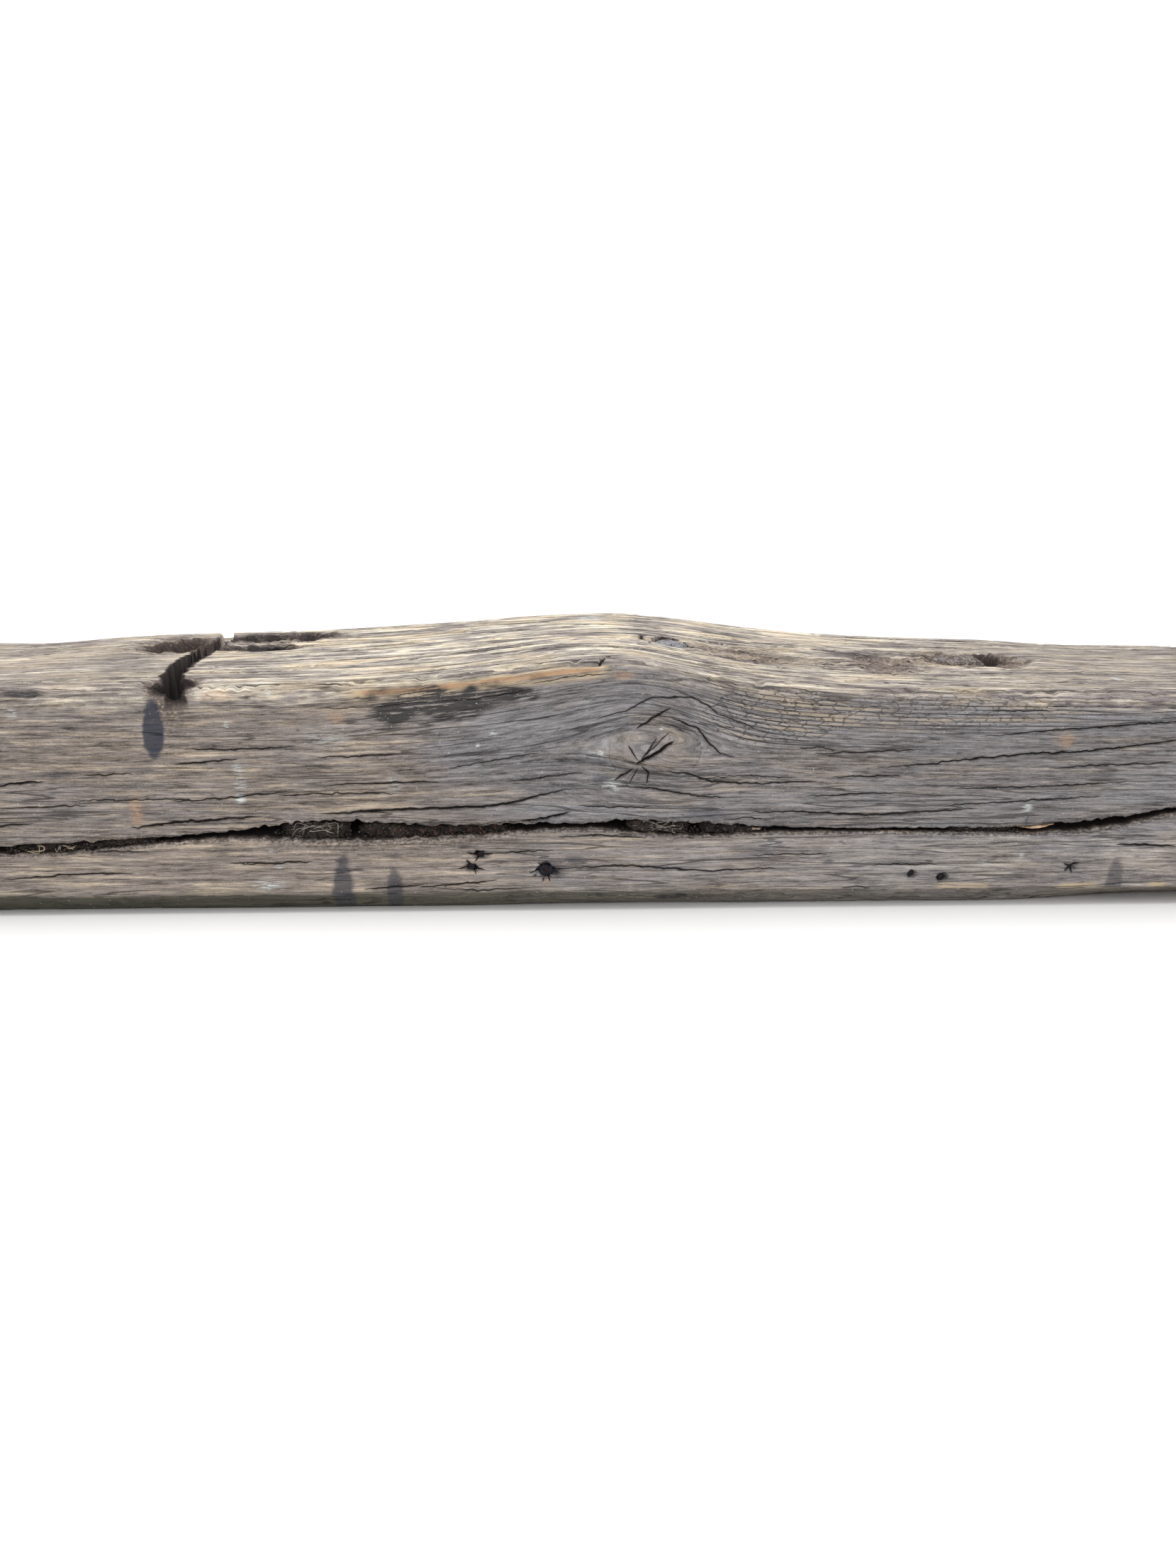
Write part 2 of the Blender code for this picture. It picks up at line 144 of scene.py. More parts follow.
CHAR_MARKS = (
    (-0.106, 0.1470, 0.048, 0.0120, 0.6, 0.85), (-0.134, 0.1400, 0.018, 0.0125, 0.6, 0.75),
    (-0.066, 0.1500, 0.027, 0.0050, 0.7, 0.85), (-0.229, 0.1480, 0.013, 0.0028, 0.9, 0.70),
    (-0.372, 0.1500, 0.016, 0.0025, 0.8, 0.80), (0.058, 0.0065, 0.026, 0.0032, 0.7, 0.90),
)
PAINT_MARKS = (
    (-0.2365, 0.0800, 0.0050, 0.0045, 0.9, 1.00), (-0.2360, 0.0900, 0.0050, 0.0050, 0.9, 0.75),
    (-0.2370, 0.1000, 0.0050, 0.0055, 1.0, 0.50), (-0.2200, 0.0200, 0.0120, 0.0060, 1.0, 0.95),
    (-0.2130, 0.0330, 0.0050, 0.0030, 1.0, 0.70), (-0.2170, 0.0440, 0.0040, 0.0018, 0.9, 0.80),
    (-0.2160, 0.1510, 0.0024, 0.0052, 0.8, 0.85), (-0.2430, 0.1290, 0.0020, 0.0030, 0.8, 0.90),
    (-0.1780, 0.1200, 0.0200, 0.0070, 1.0, 0.35), (-0.3780, 0.1370, 0.0035, 0.0040, 0.9, 0.55),
    (-0.1350, 0.0900, 0.0070, 0.0080, 1.0, 0.35), (-0.0700, 0.1230, 0.0030, 0.0030, 0.8, 0.70),
    (-0.0800, 0.1160, 0.0018, 0.0018, 0.8, 0.90), (-0.0400, 0.0290, 0.0045, 0.0050, 1.0, 0.65),
    (0.0100, 0.0880, 0.0080, 0.0055, 1.0, 0.65), (0.0020, 0.1110, 0.0022, 0.0022, 0.8, 1.00),
    (-0.0020, 0.1090, 0.0100, 0.0040, 1.0, 0.40), (0.2970, 0.0715, 0.0040, 0.0040, 1.0, 0.85),
    (0.2960, 0.0365, 0.0022, 0.0022, 0.6, 1.00), (0.0420, 0.1270, 0.0016, 0.0016, 0.8, 0.90),
    (0.1200, 0.0460, 0.0050, 0.0060, 1.0, 0.35), (0.2700, 0.0300, 0.0060, 0.0050, 1.0, 0.35),
)

# Marks on the top, the same with a middle (x, y): blackened wood, and where it crumbles.
TOP_CHAR_MARKS = (
    (-0.240, 0.088, 0.050, 0.024, 0.7, 0.90), (-0.251, 0.042, 0.042, 0.014, 0.7, 0.90),
    (0.210, 0.020, 0.030, 0.016, 0.9, 0.60), (0.262, 0.030, 0.030, 0.018, 0.9, 0.50),
)
CRUMBLY_MARKS = (
    (0.224, -0.018, 0.044, 0.050, 0.8, 0.90), (0.300, 0.012, 0.060, 0.045, 0.6, 1.00),
    (0.115, -0.022, 0.060, 0.040, 0.8, 0.85), (0.170, -0.030, 0.050, 0.030, 0.9, 0.60),
    (-0.248, 0.076, 0.052, 0.028, 0.8, 0.70), (-0.318, 0.076, 0.036, 0.024, 0.6, 0.70),
)

# How deep the nail holes and the front knot's socket go in, and the spokes of splits in each end.
NAIL_HOLE_DEPTH, SOCKET_DEPTH, SPOKES = 0.006, 0.012, 46

# Splits in the front: half width and depth in millimetres, then (x, z) points. Every width is
# then scaled by SPLIT_WIDTH.
SPLIT_WIDTH = 0.62
FRONT_SPLITS = (
    (0.40, 1.5, ((-0.392, 0.074), (-0.363, 0.075), (-0.334, 0.076))),
    (0.45, 1.5, ((-0.280, 0.078), (-0.239, 0.081), (-0.204, 0.085))),
    (0.85, 3.0, ((-0.309, 0.060), (-0.281, 0.064), (-0.247, 0.066), (-0.224, 0.068))),
    (0.50, 2.0, ((-0.278, 0.103), (-0.257, 0.105), (-0.236, 0.107))),
    (0.40, 1.5, ((-0.180, 0.089), (-0.148, 0.090), (-0.103, 0.091))),
    (0.80, 3.0, ((-0.185, 0.069), (-0.145, 0.071), (-0.115, 0.072), (-0.068, 0.074), (-0.047, 0.079),
                 (-0.019, 0.086))),
    (0.70, 2.5, ((-0.392, 0.089), (-0.374, 0.091), (-0.362, 0.092))),
    (0.40, 1.5, ((-0.337, 0.096), (-0.304, 0.097))),
    (0.50, 1.5, ((-0.420, 0.060), (-0.392, 0.062), (-0.370, 0.064))),
    (0.45, 1.5, ((-0.396, 0.025), (-0.355, 0.028), (-0.308, 0.029))),
    (0.45, 1.5, ((-0.238, 0.034), (-0.191, 0.036))),
    (0.45, 1.5, ((-0.158, 0.016), (-0.116, 0.019))),
    (0.45, 1.5, ((-0.120, 0.017), (-0.067, 0.022))),
    (0.35, 1.0, ((-0.101, 0.100), (-0.061, 0.107), (-0.038, 0.111))),
    (0.35, 1.0, ((-0.061, 0.091), (-0.036, 0.094), (-0.009, 0.097))),
    (0.40, 1.0, ((-0.014, 0.074), (0.012, 0.073), (0.036, 0.073))),
    (1.10, 5.0, ((-0.087, 0.060), (-0.047, 0.063), (-0.036, 0.065), (-0.019, 0.070))),
    (1.05, 4.0, ((0.026, 0.1025), (0.039, 0.110), (0.050, 0.118))),
    (0.28, 1.5, ((0.030, 0.107), (0.038, 0.115), (0.048, 0.125))),
    (0.40, 1.5, ((0.028, 0.104), (0.034, 0.112), (0.039, 0.121))),
    (0.38, 1.5, ((0.027, 0.105), (0.023, 0.110), (0.020, 0.116))),
    (0.50, 2.0, ((0.024, 0.100), (0.018, 0.096), (0.011, 0.092))),
    (0.28, 1.5, ((0.027, 0.101), (0.024, 0.095), (0.021, 0.089))),
    (0.45, 2.0, ((0.029, 0.102), (0.034, 0.097), (0.033, 0.089))),
    (0.60, 2.0, ((0.025, 0.127), (0.036, 0.134), (0.048, 0.141))),
    (0.48, 2.0, ((0.048, 0.134), (0.060, 0.129), (0.066, 0.127), (0.075, 0.116), (0.082, 0.110),
                 (0.092, 0.107))),
    (0.40, 1.5, ((-0.004, 0.133), (0.018, 0.139), (0.036, 0.148), (0.061, 0.148), (0.072, 0.143),
                 (0.079, 0.137), (0.100, 0.129), (0.117, 0.122))),
    (0.55, 2.0, ((0.046, 0.098), (0.064, 0.095), (0.077, 0.090), (0.100, 0.089), (0.123, 0.089))),
    (0.45, 1.5, ((0.011, 0.088), (0.043, 0.085), (0.063, 0.081), (0.087, 0.079))),
    (0.40, 1.5, ((-0.072, 0.041), (-0.028, 0.043))),
    (0.50, 1.5, ((-0.025, 0.030), (0.020, 0.032), (0.076, 0.027), (0.126, 0.029))),
    (0.45, 1.5, ((0.145, 0.109), (0.190, 0.111), (0.216, 0.112))),
    (0.46, 3.0, ((0.185, 0.099), (0.224, 0.102), (0.261, 0.106), (0.299, 0.109), (0.331, 0.110),
                 (0.365, 0.114), (0.397, 0.118), (0.440, 0.121))),
    (0.40, 1.5, ((0.159, 0.093), (0.208, 0.094))),
    (0.40, 1.5, ((0.104, 0.089), (0.150, 0.090))),
    (0.40, 1.5, ((0.141, 0.080), (0.205, 0.082))),
    (0.40, 1.5, ((0.242, 0.085), (0.307, 0.086), (0.368, 0.089))),
    (0.60, 2.0, ((0.104, 0.069), (0.136, 0.069), (0.187, 0.066), (0.262, 0.071))),
    (0.38, 2.0, ((0.256, 0.121), (0.318, 0.126), (0.395, 0.131), (0.450, 0.133))),
    (0.40, 1.5, ((0.307, 0.099), (0.398, 0.103))),
    (0.40, 1.5, ((0.236, 0.073), (0.350, 0.079))),
    (0.75, 2.5, ((0.363, 0.044), (0.406, 0.043))),
    (0.35, 1.0, ((0.106, 0.038), (0.160, 0.039))),
    (0.35, 1.0, ((0.189, 0.031), (0.239, 0.031))),
    (0.70, 2.0, ((0.328, 0.025), (0.332, 0.029), (0.333, 0.024))),
    (0.60, 2.0, ((0.327, 0.030), (0.332, 0.029), (0.338, 0.031))),
    (0.55, 3.0, ((-0.0940, 0.0300), (-0.0850, 0.0315), (-0.0760, 0.0290))),
    (0.55, 3.0, ((-0.0885, 0.0365), (-0.0850, 0.0315), (-0.0815, 0.0265))),
    (0.55, 3.0, ((-0.0885, 0.0412), (-0.0785, 0.0395), (-0.0700, 0.0408))),
    (0.50, 3.0, ((-0.0825, 0.0350), (-0.0785, 0.0395), (-0.0765, 0.0435))),
    (0.60, 3.0, ((-0.0460, 0.0270), (-0.0345, 0.0280), (-0.0220, 0.0302))),
    (0.45, 3.0, ((-0.0400, 0.0345), (-0.0345, 0.0280), (-0.0315, 0.0205))),
)

# Splits in the top: the same, with (x, y) points.
TOP_SPLITS = (
    (2.40, 8.0, ((0.0430, -0.036), (0.0395, -0.018), (0.0400, 0.002), (0.0455, 0.014))),
    (2.20, 5.0, ((0.078, -0.041), (0.094, -0.053), (0.116, -0.059), (0.139, -0.068))),
    (2.00, 5.0, ((0.086, 0.016), (0.104, 0.013), (0.121, 0.004), (0.136, 0.001))),
    (2.80, 7.0, ((0.112, 0.049), (0.131, 0.037), (0.157, 0.031), (0.196, 0.022))),
    (1.60, 4.0, ((0.150, -0.030), (0.178, -0.036), (0.204, -0.034))),
    (1.80, 4.0, ((0.196, 0.006), (0.222, -0.004), (0.252, -0.006))),
    (1.60, 3.0, ((0.000, -0.1235), (0.004, -0.1140), (0.008, -0.1080))),
    (0.90, 2.0, ((-0.350, 0.060), (-0.400, 0.066), (-0.440, 0.064))),
    (0.70, 2.0, ((-0.270, -0.050), (-0.190, -0.055), (-0.120, -0.052))),
    (0.70, 2.0, ((-0.230, 0.010), (-0.150, 0.016), (-0.060, 0.012))),
    (0.70, 2.0, ((-0.180, -0.088), (-0.100, -0.092), (-0.020, -0.090))),
    (0.90, 3.0, ((0.120, -0.095), (0.210, -0.099), (0.330, -0.094))),
    (0.80, 2.0, ((0.340, -0.040), (0.430, -0.044), (0.520, -0.036))),
    (0.80, 2.0, ((0.180, 0.070), (0.280, 0.078), (0.360, 0.074))),
)


def lattice_noise(points, seed):
    """Smooth noise from -1 to 1, with one blob to a unit of length."""
    cell = np.floor(points).astype(np.int64)
    part = points - cell
    part = part * part * (3 - 2 * part)
    total = np.zeros(len(points))
    for corner in np.ndindex(2, 2, 2):
        key = cell + np.array(corner)
        mixed = key[:, 0] * 374761393 + key[:, 1] * 668265263 + key[:, 2] * 974711 + seed * 1274126177
        mixed = mixed & 0xFFFFFFFF
        mixed = ((mixed ^ (mixed >> 13)) * 1274126177) & 0xFFFFFFFF
        mixed = mixed ^ (mixed >> 16)
        weight = np.ones(len(points))
        for axis in range(3):
            weight *= part[:, axis] if corner[axis] else 1 - part[:, axis]
        total += weight * (mixed / 0x7FFFFFFF - 1)
    return total


def noise(points, scale, seed, layers=1):
    """Layered noise over an array of points of any shape, stretched by scale along X, Y and Z."""
    flat = points.reshape(-1, 3) * np.asarray(scale, float)
    total, share = 0.0, 1.0
    for layer in range(layers):
        total = total + share * lattice_noise(flat * 2.03**layer + 17.3 * layer, seed + 31 * layer)
        share *= 0.5
    return total.reshape(points.shape[:-1])


def ramp(value, low, high):
    """0 below low, 1 above high, and a smooth step between them; low may be above high."""
    t = np.clip((value - low) / (high - low), 0.0, 1.0)
    return t * t * (3 - 2 * t)


def along(x, points):
    """A smooth curve through (x, value) points, flat beyond the first and the last."""
    xs, vs = np.array(points).T
    slopes = np.empty(len(xs))
    slopes[1:-1] = (vs[2:] - vs[:-2]) / (xs[2:] - xs[:-2])
    slopes[0] = (vs[1] - vs[0]) / (xs[1] - xs[0])
    slopes[-1] = (vs[-1] - vs[-2]) / (xs[-1] - xs[-2])
    x = np.clip(x, xs[0], xs[-1])
    i = np.clip(np.searchsorted(xs, x) - 1, 0, len(xs) - 2)
    width = xs[i + 1] - xs[i]
    t = (x - xs[i]) / width
    bend = (2 * t**3 - 3 * t**2 + 1) * vs[i] + (3 * t**2 - 2 * t**3) * vs[i + 1]
    return bend + width * ((t**3 - 2 * t**2 + t) * slopes[i] + (t**3 - t**2) * slopes[i + 1])


def blob(u, v, middle_u, middle_v, reach_u, reach_v, soft=0.5):
    """1 in the middle of an oval, 0 outside it, and soft at its edge."""
    away = np.hypot((u - middle_u) / reach_u, (v - middle_v) / reach_v)
    return ramp(away, 1.0, 1.0 - soft)


def knob_away(x, y):
    """How far out a place is from the top knot's middle: 1 on its uneven rim."""
    u, v = (x - TOP_KNOT[0]) / TOP_KNOT[2], (y - TOP_KNOT[1]) / TOP_KNOT[3]
    angle = np.arctan2(v, u)
    return np.hypot(u, v) / (1 + 0.07 * np.sin(2 * angle + 0.7) + 0.06 * np.sin(3 * angle + 2.1))


def hump(x, rise, middle, left_width, right_width):
    width = np.where(x < middle, left_width, right_width)
    return (1 - ramp(np.abs(x), *HUMP_FADES)) * rise / (1 + ((x - middle) / width) ** 2)


class Baulk:
    """The plain shape of the baulk, and the way its grain runs."""

    def __init__(self, sizes):
        self.length, self.depth, self.height = sizes.length, sizes.depth, sizes.height
        self.front, self.back = -sizes.depth / 2, sizes.depth / 2
        self.arris, self.back_arris = sizes.front_arris, sizes.back_arris
        self.chamfer = sizes.chamfer
        self.ring = sizes.ring_width

    def hump(self, x, y):
        share = np.clip((y - self.front) / self.depth, 0, 1)
        return (1 - share) * hump(x, *FRONT_HUMP) + share * hump(x, *BACK_HUMP)

    def top(self, x, y):
        return self.height + self.hump(x, y)

    def shake(self, x, y):
        return along(x, SHAKE_LINE) + SHAKE_CLIMB * (y - self.front) / self.depth

    def mouth(self, x, y):
        closing = np.clip(1 - (y - self.front) / MOUTH_DEPTH, 0, 1)
        return SHAKE_GAP + along(x, MOUTH_LINE) * closing

    def chamfer_depth(self, x):
        return self.chamfer + 0.016 * ramp(x, 0.28, 0.42)

    def grain(self, points):
        """Each point's place in the straight-grained log: along it, and the two ways across."""
        x, y, z = points[..., 0], points[..., 1], points[..., 2]
        lift = self.hump(x, y) * ramp(z, 0.050, 0.160)
        knot_x, knot_z = FRONT_KNOT[0] + 0.006, FRONT_KNOT[1] - 0.002
        off = z - lift * 0.4 - knot_z
        side = off / np.sqrt(off**2 + 0.009**2)
        reach = np.where(x < knot_x, 0.052, 0.042)
        near = np.exp(-(((x - knot_x) / reach) ** 2)) * np.exp(-np.abs(off) / 0.034)
        near = near * np.exp(-(y - self.front) / 0.060)
        lift = lift + near * side * np.where(off > 0, 0.015, 0.009)
        sway = 0.0
        for middle_x, middle_y, reach, push in ((*TOP_KNOT[:2], 0.034, 0.013), (*STUB, 0.045, 0.012)):
            off = y - middle_y
            side = off / np.sqrt(off**2 + 0.007**2)
            near = np.exp(-(((x - middle_x) / reach) ** 2)) * np.exp(-np.abs(off) / 0.032)
            sway = sway + near * side * push * ramp(z, 0.10, 0.15)
        return np.stack([x, y - sway, z - lift], axis=-1)


def stations(half, stretches):
    """Places along X from end to end, as close together as the finest (from, to, spacing) there."""
    places = [-half]
    while places[-1] < half:
        places.append(places[-1] + min(step for start, stop, step in stretches if start <= places[-1] < stop))
    places[-1] = half
    return np.array(places)


def with_caps(places, rings):
    """The X and the share of full size of each loop: the ends shrink in rings towards the middle."""
    shares = np.linspace(0.02, 0.95, rings)
    xs = np.concatenate([np.full(rings, places[0]), places, np.full(rings, places[-1])])
    return xs, np.concatenate([shares, np.ones(len(places)), shares[::-1]])


def run(count, y, z):
    """Part of a section's outline: y and z are functions of a share from 0 up to, but not at, 1."""
    share = np.linspace(0.0, 1.0, count, endpoint=False)[None, :]
    return share, y, z


def outline(xs, runs):
    """The section's outline at each x: arrays of y and z, and the number of the run each point is in."""
    x = xs[:, None]
    ys, zs, kinds = [], [], []
    for number, (share, y, z) in enumerate(runs):
        across = y(x, share) + 0 * x * share
        ys.append(across)
        zs.append(z(x, share, across) + 0 * x * share)
        kinds.append(np.full(share.shape[1], number))
    return np.hstack(ys), np.hstack(zs), np.concatenate(kinds)


def upper_outline(baulk, xs, size):
    """Round the upper limb: up the front, over the top, down the back and in along the shake."""
    front, back, arris, rear = baulk.front, baulk.back, baulk.arris, baulk.back_arris
    quarter = math.pi / 2

    def lip(x):
        return baulk.shake(x, front) + baulk.mouth(x, front) / 2

    runs = [
        run(round(UPPER_FACE / size), lambda x, s: front,
            lambda x, s, y: lip(x) + LIP_ROUND + s * (baulk.top(x, front) - arris - lip(x) - LIP_ROUND)),
        run(12, lambda x, s: front + arris * (1 - np.cos(s * quarter)),
            lambda x, s, y: baulk.top(x, y) - arris * (1 - np.sin(s * quarter))),
        run(round(TOP_FACE / (size * TOP_COARSER)),
            lambda x, s: front + arris + s * (baulk.depth - arris - rear),
            lambda x, s, y: baulk.top(x, y)),
        run(7, lambda x, s: back - rear * (1 - np.sin(s * quarter)),
            lambda x, s, y: baulk.top(x, y) - rear * (1 - np.cos(s * quarter))),
        run(32, lambda x, s: back,
            lambda x, s, y: (1 - s) * (baulk.top(x, back) - rear)
            + s * (baulk.shake(x, back) + SHAKE_GAP / 2)),
        run(20, lambda x, s: back - s * (baulk.depth - MOUTH_DEPTH),
            lambda x, s, y: baulk.shake(x, y) + baulk.mouth(x, y) / 2),
        run(22, lambda x, s: front + MOUTH_DEPTH + s * (UPPER_LIP - MOUTH_DEPTH),
            lambda x, s, y: baulk.shake(x, y) + baulk.mouth(x, y) / 2),
        run(2, lambda x, s: front + UPPER_LIP * (1 - s),
            lambda x, s, y: lip(x) + LIP_ROUND * s * s),
    ]
    return outline(xs, runs)


def lower_outline(baulk, xs, size):
    """Round the lower limb: up its chamfer and front, in along the shake, down the back and under."""
    front, back = baulk.front, baulk.back

    def lip(x):
        return baulk.shake(x, front) - baulk.mouth(x, front) / 2

    runs = [
        run(14, lambda x, s: front + baulk.chamfer_depth(x) * (1 - s),
            lambda x, s, y: baulk.chamfer * s),
        run(round(LOWER_FACE / size), lambda x, s: front,
            lambda x, s, y: baulk.chamfer + s * (lip(x) - LIP_ROUND - baulk.chamfer)),
        run(3, lambda x, s: front + LOWER_LIP * s,
            lambda x, s, y: lip(x) - LIP_ROUND * (1 - s) ** 2),
        run(22, lambda x, s: front + LOWER_LIP + s * (MOUTH_DEPTH - LOWER_LIP),
            lambda x, s, y: baulk.shake(x, y) - baulk.mouth(x, y) / 2),
        run(20, lambda x, s: front + MOUTH_DEPTH + s * (baulk.depth - MOUTH_DEPTH),
            lambda x, s, y: baulk.shake(x, y) - baulk.mouth(x, y) / 2),
        run(26, lambda x, s: back,
            lambda x, s, y: (1 - s) * (baulk.shake(x, back) - SHAKE_GAP / 2) + s * UNDER_ARRIS),
        run(3, lambda x, s: back - UNDER_ARRIS * s,
            lambda x, s, y: UNDER_ARRIS * (1 - s)),
        run(36, lambda x, s: back - UNDER_ARRIS + s * (front + baulk.chamfer_depth(x) - back + UNDER_ARRIS),
            lambda x, s, y: 0.0),
    ]
    return outline(xs, runs)


def section_points(xs, scale, ys, zs, middle):
    """Points of a sleeve, its outline shrunk towards the middle by scale, and their outward directions."""
    points = np.empty((*ys.shape, 3))
    points[..., 0] = xs[:, None]
    points[..., 1] = middle[0] + (ys - middle[0]) * scale[:, None]
    points[..., 2] = middle[1] + (zs - middle[1]) * scale[:, None]
    step_y = np.roll(ys, -1, axis=1) - np.roll(ys, 1, axis=1)
    step_z = np.roll(zs, -1, axis=1) - np.roll(zs, 1, axis=1)
    size = np.hypot(step_y, step_z) + 1e-12
    outward = np.stack([np.zeros_like(ys), -step_z / size, step_y / size], axis=-1)
    capped = scale < 0.9999
    outward[capped] = 0.0
    outward[capped, :, 0] = np.sign(xs[capped])[:, None]
    return points, outward


def split_field(u, v, wobble, splits):
    """Signed distance to the nearest split, its half width there, and how deep it goes, in millimetres."""
    distance, width, depth = np.full(u.shape, 9.0), np.zeros(u.shape), np.zeros(u.shape)
    best = np.full(u.shape, 9.0)
    for half_width, deep, points in splits:
        points = np.array(points)
        low, high = points.min(axis=0) - 0.006, points.max(axis=0) + 0.006
        near = (u > low[0]) & (u < high[0]) & (v > low[1]) & (v < high[1])
        if not near.any():
            continue
        half_width *= SPLIT_WIDTH
        pu, pv = u[near], v[near] + wobble[near]
        spans = np.hypot(*np.diff(points, axis=0).T)
        starts = np.concatenate([[0.0], np.cumsum(spans)])
        found, where = np.full(pu.shape, 9.0), np.zeros(pu.shape)
        for (start, end), before, span in zip(zip(points[:-1], points[1:]), starts, spans):
            way = (end - start) / span
            reach = np.clip((pu - start[0]) * way[0] + (pv - start[1]) * way[1], 0, span)
            off_u, off_v = pu - start[0] - reach * way[0], pv - start[1] - reach * way[1]
            off = np.hypot(off_u, off_v) * np.where(way[0] * off_v - way[1] * off_u < 0, -1.0, 1.0)
            closer = np.abs(off) < np.abs(found)
            found = np.where(closer, off, found)
            where = np.where(closer, before + reach, where)
        found = found * 1000
        taper = np.sqrt(np.clip(4 * where / starts[-1] * (1 - where / starts[-1]), 0.02, 1.0))
        score = np.abs(found) - half_width * taper
        better = score < best[near]
        index = np.flatnonzero(near.ravel())[better]
        distance.ravel()[index] = found[better]
        width.ravel()[index] = (half_width * taper)[better]
        depth.ravel()[index] = (deep * taper)[better]
        best.ravel()[index] = score[better]
    return distance, width, depth


def grain_splits(rng, count, low, high, half_width, deep, length):
    """Random fine splits that run level in the grain's own space."""
    made = []
    for _ in range(count):
        x, v = rng.uniform(-0.60, 0.58), rng.uniform(low, high)
        reach = rng.uniform(*length)
        drift = rng.uniform(-0.0015, 0.0015)
        made.append((rng.uniform(*half_width), deep, ((x, v), (x + reach / 2, v + drift), (x + reach, v))))
    return made


def sleeve_faces(loops, count):
    """Quads between the loops of a sleeve, and a fan to a middle point at each end."""
    i, j = np.arange(loops - 1)[:, None], np.arange(count)[None, :]
    after = (j + 1) % count
    here, beyond = i * count, (i + 1) * count
    quads = np.stack([here + j, beyond + j, beyond + after, here + after], axis=-1)
    j = np.arange(count)
    after = (j + 1) % count
    base, last = loops * count, (loops - 1) * count
    fans = np.vstack([
        np.stack([j, after, np.full(count, base)], axis=-1),
        np.stack([last + after, last + j, np.full(count, base + 1)], axis=-1),
    ])
    return quads.reshape(-1, 4), fans


def turns(count):
    """Angles round a full turn, as one row."""
    return np.linspace(0, 2 * math.pi, count, endpoint=False)[None, :]


def even_fields(shape, grain, split, zone, decay):
    """The fields of a piece with no stains: each number in them is plain, or an array."""
    def stacked(numbers):
        return np.stack([number + np.zeros(shape) for number in numbers], axis=-1)

    return {
        "grain": grain, "split": stacked(split), "zone": stacked(zone), "stain": np.zeros((*shape, 4)),
        "decay": stacked(decay),
    }


def mesh_from(name, vertices, quads, triangles, fields):
    """A smooth mesh of these faces, with a point attribute for each field of 1, 3 or 4 numbers."""
    mesh = bpy.data.meshes.new(name)
    mesh.vertices.add(len(vertices))
    mesh.vertices.foreach_set("co", vertices.astype(np.float32).ravel())
    corners = np.concatenate([quads.ravel(), triangles.ravel()])
    starts = np.concatenate([np.arange(len(quads)) * 4, len(quads) * 4 + np.arange(len(triangles)) * 3])
    mesh.loops.add(len(corners))
    mesh.loops.foreach_set("vertex_index", corners.astype(np.int32))
    mesh.polygons.add(len(starts))
    mesh.polygons.foreach_set("loop_start", starts.astype(np.int32))
    mesh.update(calc_edges=True)
    mesh.shade_smooth()
    for field, values in fields.items():
        width = 1 if values.ndim == 1 else values.shape[1]
        kind, key = {1: ("FLOAT", "value"), 3: ("FLOAT_VECTOR", "vector"), 4: ("FLOAT_COLOR", "color")}[width]
        layer = mesh.attributes.new(field, kind, "POINT")
        layer.data.foreach_set(key, values.astype(np.float32).ravel())
    if mesh.validate():
        raise RuntimeError(f"{name} came out with faces that don't hold together")
    return mesh


def sleeve(name, points, fields):
    """A closed sleeve through loops of points, with its fields."""
    loops, count = points.shape[:2]
    quads, fans = sleeve_faces(loops, count)

    def closed(values):
        flat = values.reshape(loops * count, -1)
        return np.vstack([flat, flat[:count].mean(axis=0), flat[-count:].mean(axis=0)])

    return mesh_from(name, closed(points), quads, fans, {key: closed(value) for key, value in fields.items()})


def add_piece(name, data, finish, nodes):
    """Puts a piece in the scene on the plank's body, standing for its CAD nodes."""
    obj = bpy.data.objects.new(name, data)
    bpy.context.scene.collection.objects.link(obj)
    obj.data.materials.append(finish)
    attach(obj, BODY)
    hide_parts(*nodes)
    return obj


def patches(u, v, wobble, marks):
    """The strongest of several soft ovals at each point, their edges pushed about by wobble."""
    found = np.zeros(u.shape)
    for middle_u, middle_v, reach_u, reach_v, soft, strength in marks:
        away = np.hypot((u - middle_u) / reach_u, (v - middle_v) / reach_v) + wobble
        found = np.maximum(found, strength * ramp(away, 1.15, 1.15 - soft))
    return found


def hollowed(baulk, x, y, rough, frayed):
    """How high the slot, the rot hole and the hollows leave the top, how rotted it is there, and how much
    painted shade darkens them.
    """
    middle = along(y, SLOT_LINE) + 0.0016 * rough
    away = np.abs(x - middle) / along(y, SLOT_HALF)
    left = along(y, SLOT_FLOOR) + 0.0012 * rough + 0.06 * ramp(away, 0.90, 1.22)
    # Painted shade down the slot.
    dark = ramp(away, 1.55, 1.25) * ramp(y, 0.116, 0.080)
    away = np.hypot(x + 0.2800, (y + 0.106) * 0.8) / 0.0135 + 0.12 * rough
    hole = ROT_FLOOR + 0.0020 * rough + 0.07 * ramp(away, 0.35, 1.25)
    left = np.minimum(left, hole)
    # Painted shade in the rot hole.
    dark = np.maximum(dark, ramp(away, 1.20, 0.95))
    rot = ramp(away, 1.7, 1.1)
    for middle_x, middle_y, reach_x, reach_y, floor, hollow_shade in HOLLOWS:
        away = np.hypot((x - middle_x) / reach_x, (y - middle_y) / reach_y) + 0.26 * frayed
        edge = baulk.top(x, y) + 0.004
        left = np.minimum(left, floor + 0.0022 * rough + (edge - floor) * ramp(away, 0.64, 1.05))
        rot = np.maximum(rot, ramp(away, 1.35, 0.95))
        # Painted shade inside each hollow.
        dark = np.maximum(dark, hollow_shade * ramp(away, 1.10, 0.88))
    return left, rot, dark


# The runs of each limb's outline, in order round it.
UPPER_RUNS = ("front", "arris", "top", "rear", "back", "inner", "mouth", "lip")
LOWER_RUNS = ("chamfer", "front", "lip", "mouth", "inner", "back", "rear", "under")


